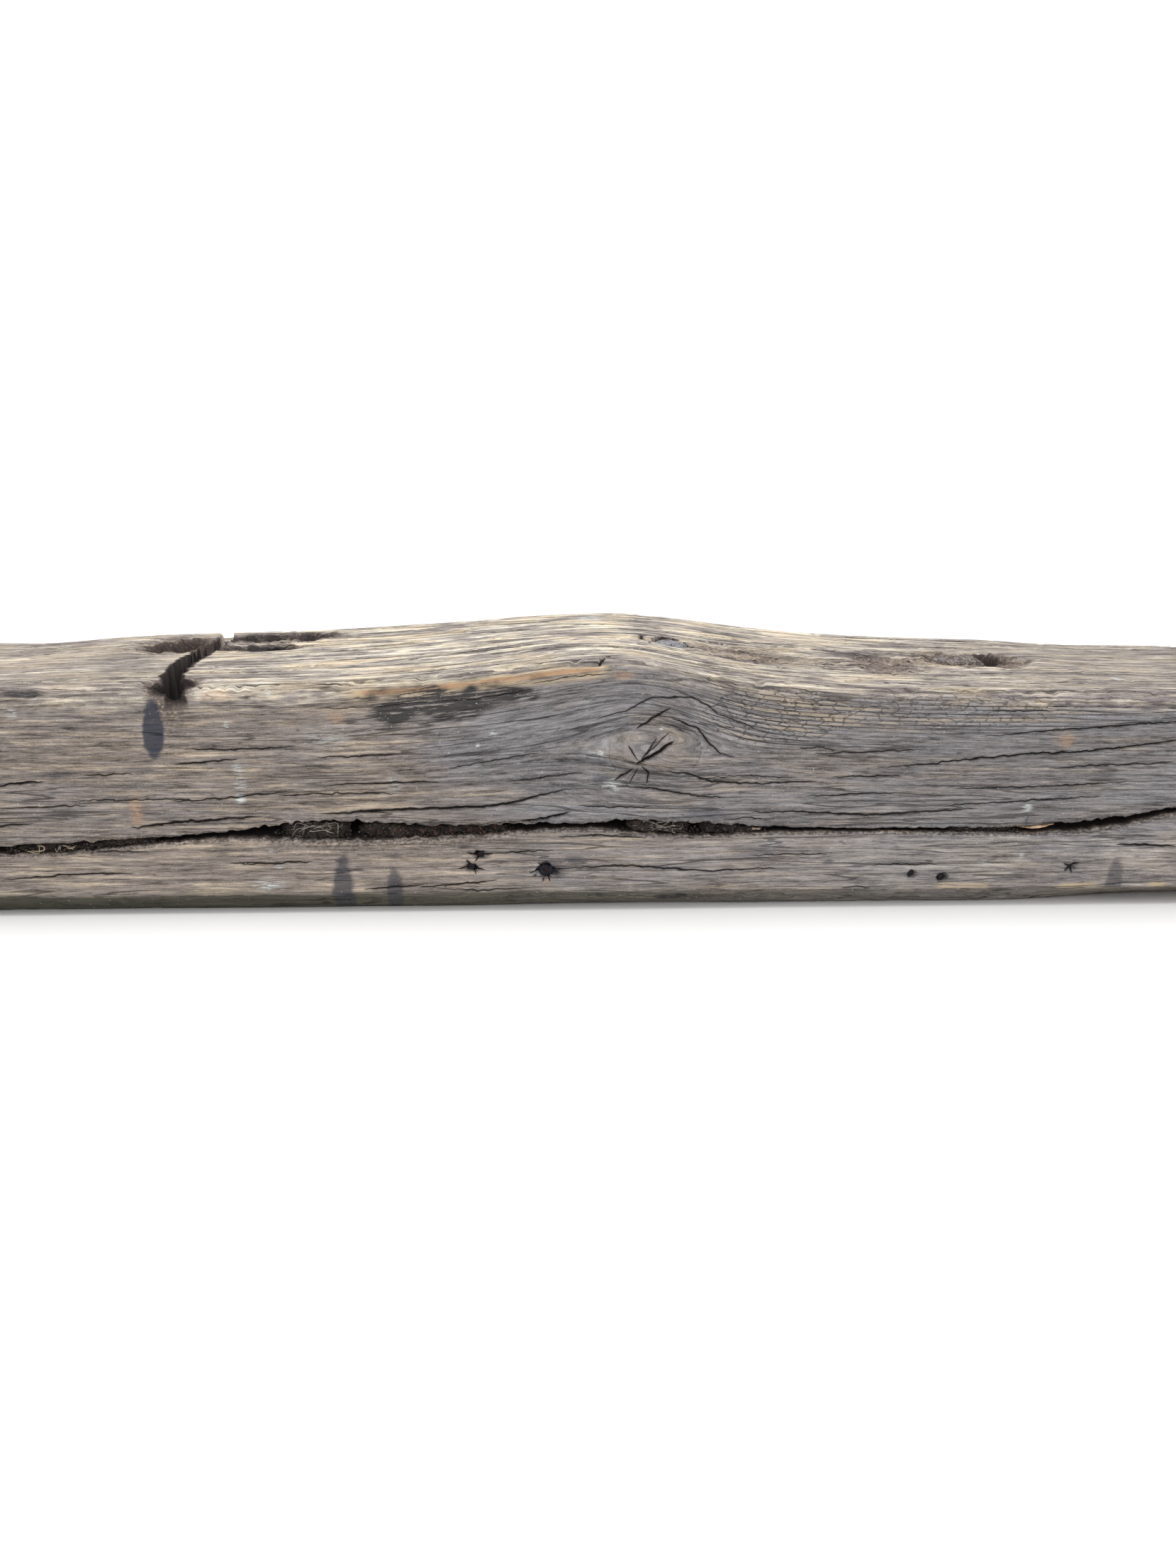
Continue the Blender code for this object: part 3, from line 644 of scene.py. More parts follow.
def nearer(first, second, also=False):
    """Of two split fields, whichever split is nearer at each point; the second wherever also is true."""
    take = (np.abs(second[0]) - second[1] < np.abs(first[0]) - first[1]) | also
    return [np.where(take, theirs, ours) for ours, theirs in zip(first, second)]


class Weather:
    """A limb's surface while it is weathered, with the masks and the noise that all its wear shares."""

    def __init__(self, baulk, points, outward, kinds, upper):
        self.baulk, self.points, self.outward, self.upper = baulk, points, outward, upper
        x, y, z = (points[..., axis].copy() for axis in range(3))
        self.x, self.y, self.z = x, y, z
        self.grain = grain = baulk.grain(points)
        runs = UPPER_RUNS if upper else LOWER_RUNS
        self.on = {
            name: np.broadcast_to((kinds == number)[None, :], x.shape) for number, name in enumerate(runs)
        }
        self.end = (np.abs(outward[..., 0]) > 0.5).astype(float)
        self.side = 1 - self.end
        self.open_air = np.where(self.on["inner"], 0.0, np.where(self.on["mouth"], 0.35, 1.0)) * self.side
        self.facing_front = ramp(-outward[..., 1], 0.35, 0.85) * self.side
        self.facing_up = ramp(outward[..., 2], 0.35, 0.85) * self.side * (1.0 if upper else 0.0)

        self.broad = noise(grain, (7, 42, 42), 1, 2)
        self.medium = noise(grain, (22, 150, 150), 2, 2)
        self.fibre = noise(grain, (32, 330, 330), 3, 2)
        self.lumps = noise(points, (120, 120, 150), 4, 2)
        self.crumbs = noise(points, (330, 330, 330), 5, 2)
        self.waver = noise(points, (60, 60, 60), 6, 2)
        self.wobble = 0.35 * self.waver + 0.15 * self.lumps

        self.far = np.hypot(grain[..., 1] - PITH[0], grain[..., 2] - PITH[1])
        self.ring = self.far / baulk.ring + 0.5 * noise(grain, (9, 60, 60), 7)
        self.valley = 1 - np.abs(2 * (self.ring - np.floor(self.ring)) - 1) ** 1.5
        self.smooth_zone = blob(x, z, -0.030, 0.112, 0.115, 0.034, 0.5) * self.facing_front
        ridge = np.maximum(0.30, 1.05 * blob(x, z, 0.118, 0.136, 0.085, 0.034, 0.6) * self.facing_front)
        ridge = np.maximum(ridge, 0.85 * blob(x, z, 0.235, 0.140, 0.180, 0.026, 0.6) * self.facing_front)
        self.ridge = np.maximum(ridge, 0.55 * self.facing_up) * (1 - 0.7 * self.smooth_zone)

        self.from_top = z - baulk.top(x, y)
        self.arris_band = ramp(self.from_top, -0.016, -0.005) * (1 - self.facing_up) * self.side
        self.arris_band = self.arris_band * (1.0 if upper else 0.0)
        self.lip_z = baulk.shake(x, y) + (1 if upper else -1) * baulk.mouth(x, y) / 2
        in_from_front = ramp(y, baulk.front + 0.030, baulk.front + 0.012)
        self.by_lip = np.exp(-np.abs(z - self.lip_z) / 0.0022) * in_from_front * self.side
        self.black = patches(x, z, self.wobble, CHAR_MARKS) * ramp(-outward[..., 1], 0.0, 0.4) * self.side

    def splits(self):
        """Signed distance to the nearest split, its half width and its depth there, in millimetres."""
        x, y, z, end = self.x, self.y, self.z, self.end
        rng = np.random.default_rng(41 if self.upper else 43)
        count, low, high = (20, 0.058, 0.150) if self.upper else (9, 0.012, 0.055)
        fine = grain_splits(rng, count, low, high, (0.20, 0.42), 0.9, (0.02, 0.09))
        bend = 0.0007 * noise(self.points, (260, 10, 260), 8, 2)
        upright = split_field(x, self.grain[..., 2], bend, fine)
        upright = nearer(split_field(x, z, bend, FRONT_SPLITS), upright, y > 0)
        if self.upper:
            fine = grain_splits(rng, 80, -0.112, 0.118, (0.25, 0.60), 1.2, (0.03, 0.13))
            level = split_field(x, self.grain[..., 1], bend, fine)
            level = nearer(split_field(x, y, bend * 1.4, TOP_SPLITS), level)
        else:
            fine = grain_splits(rng, 40, -0.10, 0.12, (0.25, 0.50), 1.2, (0.05, 0.16))
            level = split_field(x, self.grain[..., 1], bend, fine)
        on_level = self.outward[..., 2] * (1 if self.upper else -1) > 0.70
        on_upright = np.abs(self.outward[..., 1]) > 0.70
        off, wide, deep = (
            np.where(on_level, there, np.where(on_upright, here, elsewhere))
            for there, here, elsewhere in zip(level, upright, (9.0, 0.0, 0.0))
        )
        # The star of shrinkage splits that runs out from the pith in each end.
        angle = np.arctan2(z - PITH[1], y - PITH[0]) + 0.018 * noise(self.points, (1, 60, 60), 9, 3)
        spoke = angle / (2 * math.pi) * SPOKES
        spoke_off = (spoke - np.round(spoke)) * self.far / SPOKES * 2 * math.pi * 1000
        keep = np.stack([np.round(spoke) * 7.7, self.far * 22, 0 * self.far], axis=-1)
        keep = lattice_noise(keep.reshape(-1, 3), 77).reshape(x.shape)
        off = np.where(end > 0.5, spoke_off, off)
        wide = np.where(end > 0.5, 0.38 * ramp(keep, 0.10, 0.55), wide)
        deep = np.where(end > 0.5, 1.8, deep)
        wide = wide * ramp(np.abs(off) - wide, 2.6, 1.5) * np.where(end > 0.5, 1.0, self.open_air)
        return off, wide, deep

    def wear(self):
        """How far the worn edges are rubbed back."""
        if self.upper:
            edge = self.on["arris"] * 1.0 + self.on["rear"] * 0.8
            return edge * (0.0012 * ramp(self.medium, -0.4, 0.8) + 0.0022 * ramp(self.lumps, 0.15, 0.75))
        worn = 0.0010 * ramp(self.medium, 0.0, 0.8) + 0.0015 * ramp(self.lumps, 0.25, 0.7)
        return self.on["chamfer"] * worn * ramp(self.z, 0.0008, 0.004)

    def relief(self, off, wide, deep):
        """How far each point moves outward for its rings, splits, char and worn edges."""
        groove = ramp(np.abs(off), wide + 1.1, wide * 0.3) * deep * ramp(wide, 0.05, 0.3)
        pits = ramp(noise(self.grain, (90, 260, 260), 10, 2), 0.55, 0.80) * (1 - 0.7 * self.smooth_zone)
        move = -0.0009 * self.black * (1 + self.lumps + 0.8 * self.crumbs)
        move = move + self.open_air * (
            0.0010 * self.broad + 0.00028 * self.medium
            + 0.00022 * self.fibre * (1 - 0.5 * self.smooth_zone)
            - 0.00060 * self.ridge * self.valley - 0.0006 * pits
        ) - self.wear()
        move = move + self.end * (0.0005 * self.lumps - 0.0003 * self.valley + 0.0004 * self.broad)
        move = move - 0.001 * groove
        if not self.upper:
            move = np.where(self.on["under"], np.minimum(move, 0.0) * 0.6 - 0.0001, move)
        last = np.clip(np.abs(self.x) - (self.baulk.length / 2 - END_ROUND), 0, END_ROUND)
        rounding = END_ROUND - np.sqrt(np.maximum(END_ROUND**2 - last**2, 0.0))
        return move - self.side * rounding * np.where(self.on["inner"], 0.2, 1.0)

    def sunk(self, socket):
        """How deep the nail holes, or the front knot's socket, go into the front."""
        x, z, front = self.x, self.z, self.on["front"]
        sunk = 0.0 * x
        if not self.upper:
            for nail_x, nail_z, radius in NAILS.values():
                away = np.hypot((x - nail_x) * 0.80, z - nail_z) / radius
                away = away + 0.60 * self.crumbs + 0.35 * self.lumps
                sunk = np.maximum(sunk, NAIL_HOLE_DEPTH * ramp(away, 1.30, 0.85) * front)
        elif socket:
            away = np.hypot((x - FRONT_KNOT[0]) / FRONT_KNOT[2], (z - FRONT_KNOT[1]) / FRONT_KNOT[3])
            sunk = np.maximum(sunk, SOCKET_DEPTH * ramp(away, 0.985, 0.95) * front)
        return sunk

    def lip_move(self):
        """The shake's lips are ragged, and frayed most where it gapes."""
        ragged = noise(self.points, (230, 40, 12), 11, 2)
        return self.by_lip * 0.00075 * ragged * (0.5 + self.baulk.mouth(self.x, self.y) / 0.006)

    def hollow_out(self, new):
        """Sinks the slot, the hollows and the knot's rim into the top; gives its rot, and the painted shade
        that darkens them.
        """
        x, y, z, on = self.x, self.y, self.z, self.on
        rough = noise(self.points * [1, 1, 0], (150, 150, 1), 12, 2)
        frayed = noise(self.grain * [1, 1, 0], (34, 260, 1), 13, 3)
        left, rot, dark = hollowed(self.baulk, x, y, rough, frayed)
        crumbly = np.maximum(rot, patches(x, y, 0.25 * self.waver, CRUMBLY_MARKS)) * ramp(z, 0.130, 0.143)
        new[..., 2] += self.facing_up * crumbly * (0.0024 * self.lumps + 0.0014 * self.crumbs - 0.0016)
        # Painted shade in the gap round the rotted stub.
        stub_gap = np.hypot((x - STUB_MIDDLE[0]) / 0.0220, (y - STUB_MIDDLE[1]) / STUB_REACH[1])
        stub_gap = stub_gap + 0.05 * self.crumbs
        dark = np.maximum(dark, 0.85 * ramp(np.abs(stub_gap - 1.06), 0.11, 0.04) * ramp(z, 0.13, 0.14))
        lower_to = np.minimum(new[..., 2], left + 0.0003 * self.crumbs)
        sinks = (z > 0.10) * self.side * (1 - on["inner"]) * (1 - on["mouth"])
        new[..., 2] = np.where(sinks > 0.5, lower_to, new[..., 2])
        knob = knob_away(x, y)
        new[..., 2] -= on["top"] * self.side * 0.006 * ramp(knob, 1.09, 1.01)
        # Painted shade in the groove round the top knot.
        dark = np.maximum(dark, on["top"] * ramp(knob + 0.06 * self.crumbs, 1.15, 1.04))
        return np.where(sinks > 0.5, crumbly, 0.0), dark

    def zones(self, dark):
        """How bleached, how grey and how green (algae, with painted shade on the chamfer and underside) each
        point is, and how much painted shade darkens it inside the shake and the hollows.
        """
        x, y, z, on, baulk = self.x, self.y, self.z, self.on, self.baulk
        bleach = self.facing_up * np.clip(
            0.80 + 0.30 * blob(x, y, -0.05, 0.02, 0.22, 0.17, 0.8) - 0.34 * ramp(x, 0.25, 0.36)
            - 0.34 * ramp(x, -0.24, -0.34) + 0.12 * self.broad, 0, 1)
        patchy = ramp(self.medium + self.broad + self.lumps, -0.7, 0.5)
        # Along the worn front arris the top's bleach carries on: bleached wood, and painted highlight where
        # the rounded edge catches the light.
        bleach = np.maximum(bleach, (0.75 + 0.25 * ramp(x, 0.1, 0.25)) * self.arris_band * patchy)
        if not self.upper:
            lower_arris = np.exp(-np.abs(z - baulk.chamfer - 0.0012) / 0.0012)
            lower_arris = lower_arris * ramp(self.medium + self.fibre, -0.3, 0.6)
            bleach = np.maximum(0.04 + 0.22 * ramp(x, 0.08, 0.32), 0.55 * lower_arris) * self.facing_front
        greyness = self.facing_front * np.clip(
            0.18 + ramp(x, -0.16, -0.02) * 0.62 + 0.38 * self.smooth_zone
            - 0.45 * blob(x, z, 0.028, 0.100, 0.070, 0.042, 1.0)
            - 0.40 * (0.0 if self.upper else 1.0) * ramp(x, 0.25, 0.05) + 0.25 * self.broad, 0, 1)
        greyness = np.maximum(greyness, self.facing_up * (
            0.75 * blob(x, y, -0.011, -0.010, 0.032, 0.052, 0.7) + 0.35 * ramp(x, 0.20, 0.34)
            + 0.65 * blob(x, y, -0.345, -0.030, 0.055, 0.045, 0.8)))
        # Algae low on the front, on the chamfer and under, deepened as painted shade where these faces turn
        # down; thin algae on the back, and a darker foot at each end.
        algae_and_shade = 0.0 * x
        if not self.upper:
            edge = baulk.chamfer + 0.003 * self.medium
            low = ramp(z, edge + 0.004, edge - 0.002)
            algae_and_shade = np.where(on["chamfer"] | on["front"], low * (0.96 - 0.60 * ramp(x, -0.30, 0.32)), 0.0)
            algae_and_shade = np.where(on["under"], 0.55, algae_and_shade)
        backside = np.where(on["back"], 1.0, 0.0) * self.side
        algae_and_shade = np.maximum(algae_and_shade, backside * 0.25 * ramp(self.broad + self.medium, 0.0, 1.0)) * self.side
        algae_and_shade = np.maximum(algae_and_shade, 0.45 * self.end * ramp(z + 0.006 * self.lumps, 0.030, 0.004))
        # Painted shade: the open mouth gets darker the further in it goes.
        deeper = ramp(y, baulk.front + 0.0005, baulk.front + 0.006)
        inside = np.where(on["mouth"] | on["inner"], deeper, 0.0) * self.side
        # On top, painted shade in the slot, the rot hole, the hollows and round the top knot and the stub.
        if self.upper:
            inside = np.maximum(inside, dark * ramp(z, 0.138, 0.146) * self.side)
        return np.stack([bleach, greyness, algae_and_shade, inside], axis=-1)

    def stains(self):
        """How strong the marks of iron, rust, black rot and paint are."""
        x, y, z, wobble = self.x, self.y, self.z, self.wobble
        ragged = 0.35 * wobble + 0.12 * self.fibre + 0.06 * self.crumbs
        iron = patches(x, z, ragged, IRON_MARKS) * self.facing_front
        rust = patches(x, z, wobble, RUST_MARKS) * ramp(-self.outward[..., 1], 0.1, 0.5) * self.side
        char = self.black
        if self.upper:
            char = np.maximum(char, self.facing_up * patches(x, y, wobble, TOP_CHAR_MARKS))
        paint = patches(x, z, 0.5 * wobble, PAINT_MARKS) * self.facing_front
        smear = blob(x, y, 0.006, 0.092, 0.017, 0.042, 0.8) * ramp(self.medium + self.fibre, -0.8, 0.3)
        paint = np.maximum(paint, self.facing_up * smear)
        paint = np.maximum(paint, 0.9 * self.facing_up * blob(x, y, 0.382, -0.064, 0.0055, 0.0115, 0.5))
        return np.stack([iron, rust, char, paint], axis=-1)

    def decay(self, rotted, sunk):
        """How rotted, how dirty and how freshly torn each point is, and whether it is end grain; the nail
        holes and the knot's socket darken with their depth as painted shade.
        """
        x, y, z, on = self.x, self.y, self.z, self.on
        warm = self.arris_band * ramp(x, -0.172, -0.150) * ramp(x, 0.012, -0.004)
        fresh = 0.8 * (warm * ramp(self.from_top, -0.002, -0.006))
        if not self.upper:
            for start, stop in ((0.232, 0.280), (0.318, 0.359), (0.384, 0.410)):
                sliver = ramp(x, start, start + 0.012) * ramp(x, stop, stop - 0.012)
                sliver = 0.42 * sliver * ramp(np.abs(z - 0.0145 + 0.001 * self.medium), 0.0030, 0.0010)
                fresh = np.maximum(fresh, sliver)
        dirt = np.where(on["mouth"] | on["lip"], 0.75, 0.0)
        stained = 0.35 + 0.65 * ramp(x, -0.240, -0.205) * ramp(x, -0.030, -0.070)
        stained = stained * (0.5 if self.upper else 1.0)
        below = np.exp(-np.abs(z - self.lip_z) / (0.0012 + 0.0040 * stained)) * self.facing_front
        dirt = np.maximum(dirt, np.maximum(self.by_lip * 0.6, below * stained))
        notch = blob(x, y, -0.278, -0.117, 0.020, 0.016, 0.6) if self.upper else 0.0
        dirt = np.maximum(dirt, notch * 0.5 * (z > 0.12))
        # The nail holes and the front knot's socket darken with their depth: painted shade.
        dirt = np.maximum(dirt * self.side, sunk / SOCKET_DEPTH)
        return np.stack([rotted, dirt, fresh, self.end], axis=-1)


def weather_limb(baulk, points, outward, kinds, upper, socket=True):
    """Moves a limb's points for its rings, splits, decay and wear, and gives the fields its finish reads."""
    limb = Weather(baulk, points, outward, kinds, upper)
    off, wide, deep = limb.splits()
    sunk = limb.sunk(socket)
    new = points + outward * (limb.relief(off, wide, deep) - sunk)[..., None]
    new[..., 2] += limb.lip_move()
    rotted = dark = 0.0 * limb.x
    if upper:
        rotted, dark = limb.hollow_out(new)
    else:
        new[..., 2] = np.maximum(new[..., 2], UNDERSIDE)
    return new, {
        "grain": limb.grain,
        "split": np.stack([off, wide, limb.ridge, limb.ring], axis=-1),
        "zone": limb.zones(dark),
        "stain": limb.stains(),
        "decay": limb.decay(rotted, sunk),
    }


class Wire:
    """A shader socket that ordinary arithmetic works on: each operator adds its Math node."""

    def __init__(self, finish, socket):
        self.finish, self.socket = finish, socket

    def math(self, operation, *values):
        return self.finish.node("ShaderNodeMath", {"operation": operation}, dict(enumerate(values)))

    def __add__(self, other):
        return self.math("ADD", self, other)

    def __sub__(self, other):
        return self.math("SUBTRACT", self, other)

    def __rsub__(self, other):
        return self.math("SUBTRACT", other, self)

    def __mul__(self, other):
        return self.math("MULTIPLY", self, other)

    __radd__ = __add__
    __rmul__ = __mul__

    def __abs__(self):
        return self.math("ABSOLUTE", self)

    def over(self, other):
        """The larger of two."""
        return self.math("MAXIMUM", self, other)

    def under(self, other):
        """The smaller of two."""
        return self.math("MINIMUM", self, other)

    def from_to(self, low, high):
        """0 at low, 1 at high, with a smooth step between; low may be above high."""
        return self.finish.node(
            "ShaderNodeMapRange", {"interpolation_type": "SMOOTHSTEP"},
            {"Value": self, "From Min": low, "From Max": high},
        )


class Finish:
    """A material while its nodes are being wired."""

    def __init__(self, name):
        self.material = bpy.data.materials.new(name)
        self.material.use_nodes = True
        self.tree = self.material.node_tree
        self.tree.nodes.clear()

    def node(self, kind, settings=None, values=None, output=0):
        """Adds a node: its settings, then its sockets' values or links. Gives one of its outputs."""
        made = self.tree.nodes.new(kind)
        for key, value in (settings or {}).items():
            setattr(made, key, value)
        for key, value in (values or {}).items():
            if isinstance(value, Wire):
                self.tree.links.new(value.socket, made.inputs[key])
            else:
                made.inputs[key].default_value = value
        return Wire(self, made.outputs[output])

    def vector_field(self, name):
        return self.node("ShaderNodeAttribute", {"attribute_name": name}, output="Vector")

    def field(self, name):
        """The four numbers of a colour attribute."""
        colour = self.node("ShaderNodeAttribute", {"attribute_name": name}, output="Color")
        alpha = Wire(self, colour.socket.node.outputs["Alpha"])
        parts = self.node("ShaderNodeSeparateColor", values={"Color": colour})
        return [Wire(self, parts.socket.node.outputs[i]) for i in range(3)] + [alpha]

    def place(self):
        return self.node("ShaderNodeTexCoord", output="Object")

    def noise(self, place, stretch, detail=2.0, roughness=0.55, seed=0.0):
        """Noise from 0 to 1, with its blobs this many to a metre along X, Y and Z."""
        moved = self.node("ShaderNodeVectorMath", {"operation": "MULTIPLY_ADD"},
                          {0: place, 1: stretch, 2: (seed, seed * 1.7, seed * 2.3)})
        return self.node("ShaderNodeTexNoise", values={
            "Vector": moved, "Scale": 1.0, "Detail": detail, "Roughness": roughness})

    def mix(self, first, second, share):
        """One colour turning into another; a colour is a wire or three numbers."""
        first, second = (c if isinstance(c, Wire) else (*c, 1.0) for c in (first, second))
        return self.node("ShaderNodeMix", {"data_type": "RGBA"}, {0: share, 6: first, 7: second}, output=2)

    def toned(self, colour, tone):
        return self.node("ShaderNodeVectorMath", {"operation": "SCALE"}, {0: colour, "Scale": tone})

    def done(self, colour, roughness, height, deep, strength=1.0, metallic=0.0):
        """Wires up the shader: height is in units of deep metres."""
        bump = self.node("ShaderNodeBump", values={"Strength": strength, "Distance": deep, "Height": height},
                         output="Normal")
        shader = self.node("ShaderNodeBsdfPrincipled", values={
            "Base Color": colour, "Roughness": roughness, "Metallic": metallic, "Normal": bump,
            "Specular IOR Level": 0.22})
        output = self.tree.nodes.new("ShaderNodeOutputMaterial")
        self.tree.links.new(shader.socket, output.inputs["Surface"])
        return self.material


def timber_finish(name, colours, tint=1.0, base=None):
    """Weathered hardwood: silver and tan fibres, hairline checks, dark valleys, stains and rot, with painted
    shade in the shake, the hollows and the splits.
    """
    f = Finish(name)
    grain, place = f.vector_field("grain"), f.place()
    off, wide, ridge, ring = f.field("split")
    bleach, grey, algae_and_shade, inside = f.field("zone")
    iron, rust, char, paint = f.field("stain")
    rotted, dirt, fresh, end = f.field("decay")

    band = f.noise(grain, (5, 75, 75), 3, 0.6)
    streak = f.noise(grain, (30, 560, 560), 4, 0.70, 3.1)
    thread = f.noise(grain, (130, 1500, 1500), 3, 0.68, 5.3)
    warm = f.noise(grain, (20, 330, 330), 4, 0.64, 9.7)
    years = f.node("ShaderNodeTexNoise", {"noise_dimensions": "1D"},
                   {"W": ring * 0.45, "Scale": 1.0, "Detail": 3.0})
    long = f.noise(grain, (11, 210, 210), 4, 0.62, 15.3)
    grit = f.noise(place, (1300, 1500, 1500), 2, 0.6, 4.4)
    crumb = f.noise(place, (420, 480, 480), 4, 0.65, 2.2)
    blotch = f.noise(place, (20, 42, 42), 3, 0.62, 1.3)

    # Each ring: a dark sunk valley against a silvered ridge.
    wave = abs(ring.math("FRACT", ring) * 2 - 1)
    valley = (1 - wave).from_to(0.62, 0.98) * (ridge + end * 0.5)
    # Hairline checks along the grain, broken up, and a net of cross checks where the ridges stand proud.
    level = f.noise(grain, (6, 130, 130), 2, 0.45, 7.9)
    hair = abs(level - 0.5).from_to(0.014, 0.004) * band.from_to(0.42, 0.56)
    short = abs(f.noise(grain, (26, 420, 420), 2, 0.4, 12.1) - 0.5).from_to(0.030, 0.008)
    short = short * warm.from_to(0.58, 0.44)
    net = f.node("ShaderNodeTexVoronoi", {"feature": "DISTANCE_TO_EDGE"}, {
        "Vector": f.node("ShaderNodeVectorMath", {"operation": "MULTIPLY"}, {0: grain, 1: (90, 330, 330)}),
        "Scale": 1.0})
    cross = net.from_to(0.08, 0.02) * ridge.from_to(0.62, 0.95) * crumb.from_to(0.42, 0.56)
    gap = abs(off) - wide
    split = gap.from_to(0.24, -0.10) * wide.from_to(0.04, 0.14)
    shade = gap.from_to(1.5, 0.1) * wide.from_to(0.04, 0.3)

    greyed = (grey + (blotch - 0.5) * 1.3 + (band - 0.5) * 0.9).over(0.0).under(grey + 0.35)
    colour = f.mix(base or colours.brown, base or colours.grey, greyed)
    colour = f.mix(colour, colours.tan, warm.from_to(0.50, 0.70) * (0.90 - greyed * 0.78))
    shaded = warm.from_to(0.58, 0.40) * 0.70 + greyed * 0.40 + blotch.from_to(0.54, 0.38) * 0.50
    top = f.mix(colours.bleached, colours.top_shade, shaded)
    top = f.mix(top, colours.straw, blotch.from_to(0.46, 0.66) * 0.60)
    colour = f.mix(colour, top, bleach)
    colour = f.mix(colour, colours.end_grain, end * 0.85)
    tone = (band - 0.5) * 0.7 + (streak - 0.5) * 2.8 + (thread - 0.5) * 2.0 + (grit - 0.5) * 0.9 + tint
    tone = tone + (blotch - 0.5) * 0.5
    tone = tone + ridge.from_to(0.5, 1.0) * (1 - bleach) * 0.40
    tone = tone - ridge.from_to(0.26, 0.10) * 0.10 - bleach * 0.03
    tone = tone + (long - 0.5) * (bleach * 3.4 + 0.3) + (years - 0.5) * (end * 1.4 + 0.15)
    colour = f.toned(colour, (tone * (1 - valley * 0.52)).over(0.15))
    colour = f.mix(colour, colours.tan, ridge.from_to(0.5, 1.0) * (1 - valley * 1.2).over(0.0)
                   * warm.from_to(0.46, 0.62) * (1 - bleach) * 0.75)
    colour = f.mix(colour, f.mix(colours.straw, colours.rust, fresh.from_to(0.45, 0.75)),
                   (fresh * 2.2).under(0.95) * warm.from_to(0.34, 0.58))
    # Algae, and painted shade on the faces that turn down.
    colour = f.mix(colour, colours.algae_and_shade, algae_and_shade * (streak * 0.4 + 0.70))
    colour = f.mix(colour, colours.rust, rust * crumb.from_to(0.30, 0.60) * 0.7)
    colour = f.mix(colour, f.mix(colours.rotted, colours.straw, crumb.from_to(0.54, 0.66)),
                   rotted * crumb.from_to(0.30, 0.44) * 0.78)
    colour = f.mix(colour, colours.char,
                   (char * 1.5).under(1.0) * (streak * 0.6 + thread * 0.4).from_to(0.60, 0.49))
    colour = f.mix(colour, colours.soil, dirt * crumb.from_to(0.62, 0.38))
    colour = f.mix(colour, colours.iron, iron * (streak * 0.8 + 0.48).under(1.0))
    colour = f.mix(colour, colours.paint, paint * thread.from_to(0.44, 0.56))
    white = f.noise(place, (620, 900, 900), 2, 0.5, 6.6).from_to(0.715, 0.74) * (1 - inside) * 0.7
    colour = f.mix(colour, colours.paint, white)
    # Painted shade: the shake's mouth, the slot, the rot hole and the hollows darken to the inner colour, and
    # to near black deepest in.
    colour = f.mix(colour, colours.inner, inside * (1.05 - crumb * 0.25))
    colour = f.mix(colour, colours.split, inside.from_to(0.86, 1.0) * 0.55)
    # Painted shade: near-black hairline and cross checks, a darker rim round each split, and its floor.
    fine = (hair * 0.60).over(short * 0.45).over(cross * 0.60) * (1 - inside) * (1 - end)
    colour = f.mix(colour, colours.split, fine.over(shade * 0.30))
    colour = f.mix(colour, colours.split, split * 0.93)

    height = streak * 0.6 + thread * 0.5 + grit * 0.15 + crumb * (0.1 + rotted * 0.9 + char * 0.6)
    height = height - valley * 0.5 - hair * 0.8 - cross * 0.6 - split * 1.6
    return f.done(colour, 0.95 - thread * 0.12, height, 0.0014)


def soil_finish(name, colours, redness):
    """Packed soil and crumbled wood, with pale fibres and a little moss in it."""
    f = Finish(name)
    place = f.place()
    lump = f.noise(place, (260, 260, 260), 4, 0.65, 1.1)
    fine = f.noise(place, (1200, 1200, 1200), 3, 0.6, 2.7)
    fibre = f.noise(place, (500, 1800, 1800), 2, 0.5, 6.1)
    moss = f.noise(place, (120, 160, 160), 3, 0.6, 8.8)
    colour = f.mix(colours.split, colours.soil, lump.from_to(0.34, 0.62))
    colour = f.mix(colour, colours.red_rot, lump.from_to(0.50, 0.70) * redness)
    colour = f.mix(colour, colours.ash, fibre.from_to(0.60, 0.70) * (0.6 - redness * 0.4))
    colour = f.mix(colour, colours.moss, moss.from_to(0.60, 0.72) * (0.9 - redness * 0.6))
    colour = f.mix(colour, colours.straw, fibre.from_to(0.66, 0.72) * 0.5)
    colour = f.toned(colour, fine * 1.5 + 0.15)
    return f.done(colour, 1.0 - fine * 0.1, lump * 0.7 + fine * 0.5, 0.0016)


def fibre_finish(name, dark, pale):
    """Dry grass or root: long pale fibres with dull joints and dust."""
    f = Finish(name)
    place = f.place()
    length = f.noise(place, (160, 900, 900), 3, 0.6, 0.4)
    dust = f.noise(place, (700, 700, 700), 2, 0.5, 3.9)
    colour = f.mix(dark, pale, length.from_to(0.30, 0.66))
    colour = f.toned(colour, dust * 0.8 + 0.6)
    return f.done(colour, 0.75 + dust * 0.2, length, 0.0003)


def splinter_finish(name, colours):
    """A torn sliver: orange heartwood, paler on its fresh edges."""
    f = Finish(name)
    place = f.place()
    thread = f.noise(place, (130, 1500, 1700), 3, 0.6, 2.0)
    blotch = f.noise(place, (150, 200, 300), 3, 0.6, 5.0)
    colour = f.mix(colours.rust, colours.fresh, thread.from_to(0.35, 0.62))
    colour = f.mix(colour, colours.soil, blotch.from_to(0.56, 0.70) * 0.7)
    colour = f.toned(colour, thread * 0.9 + 0.6)
    return f.done(colour, 0.82 - thread * 0.1, thread, 0.0006)


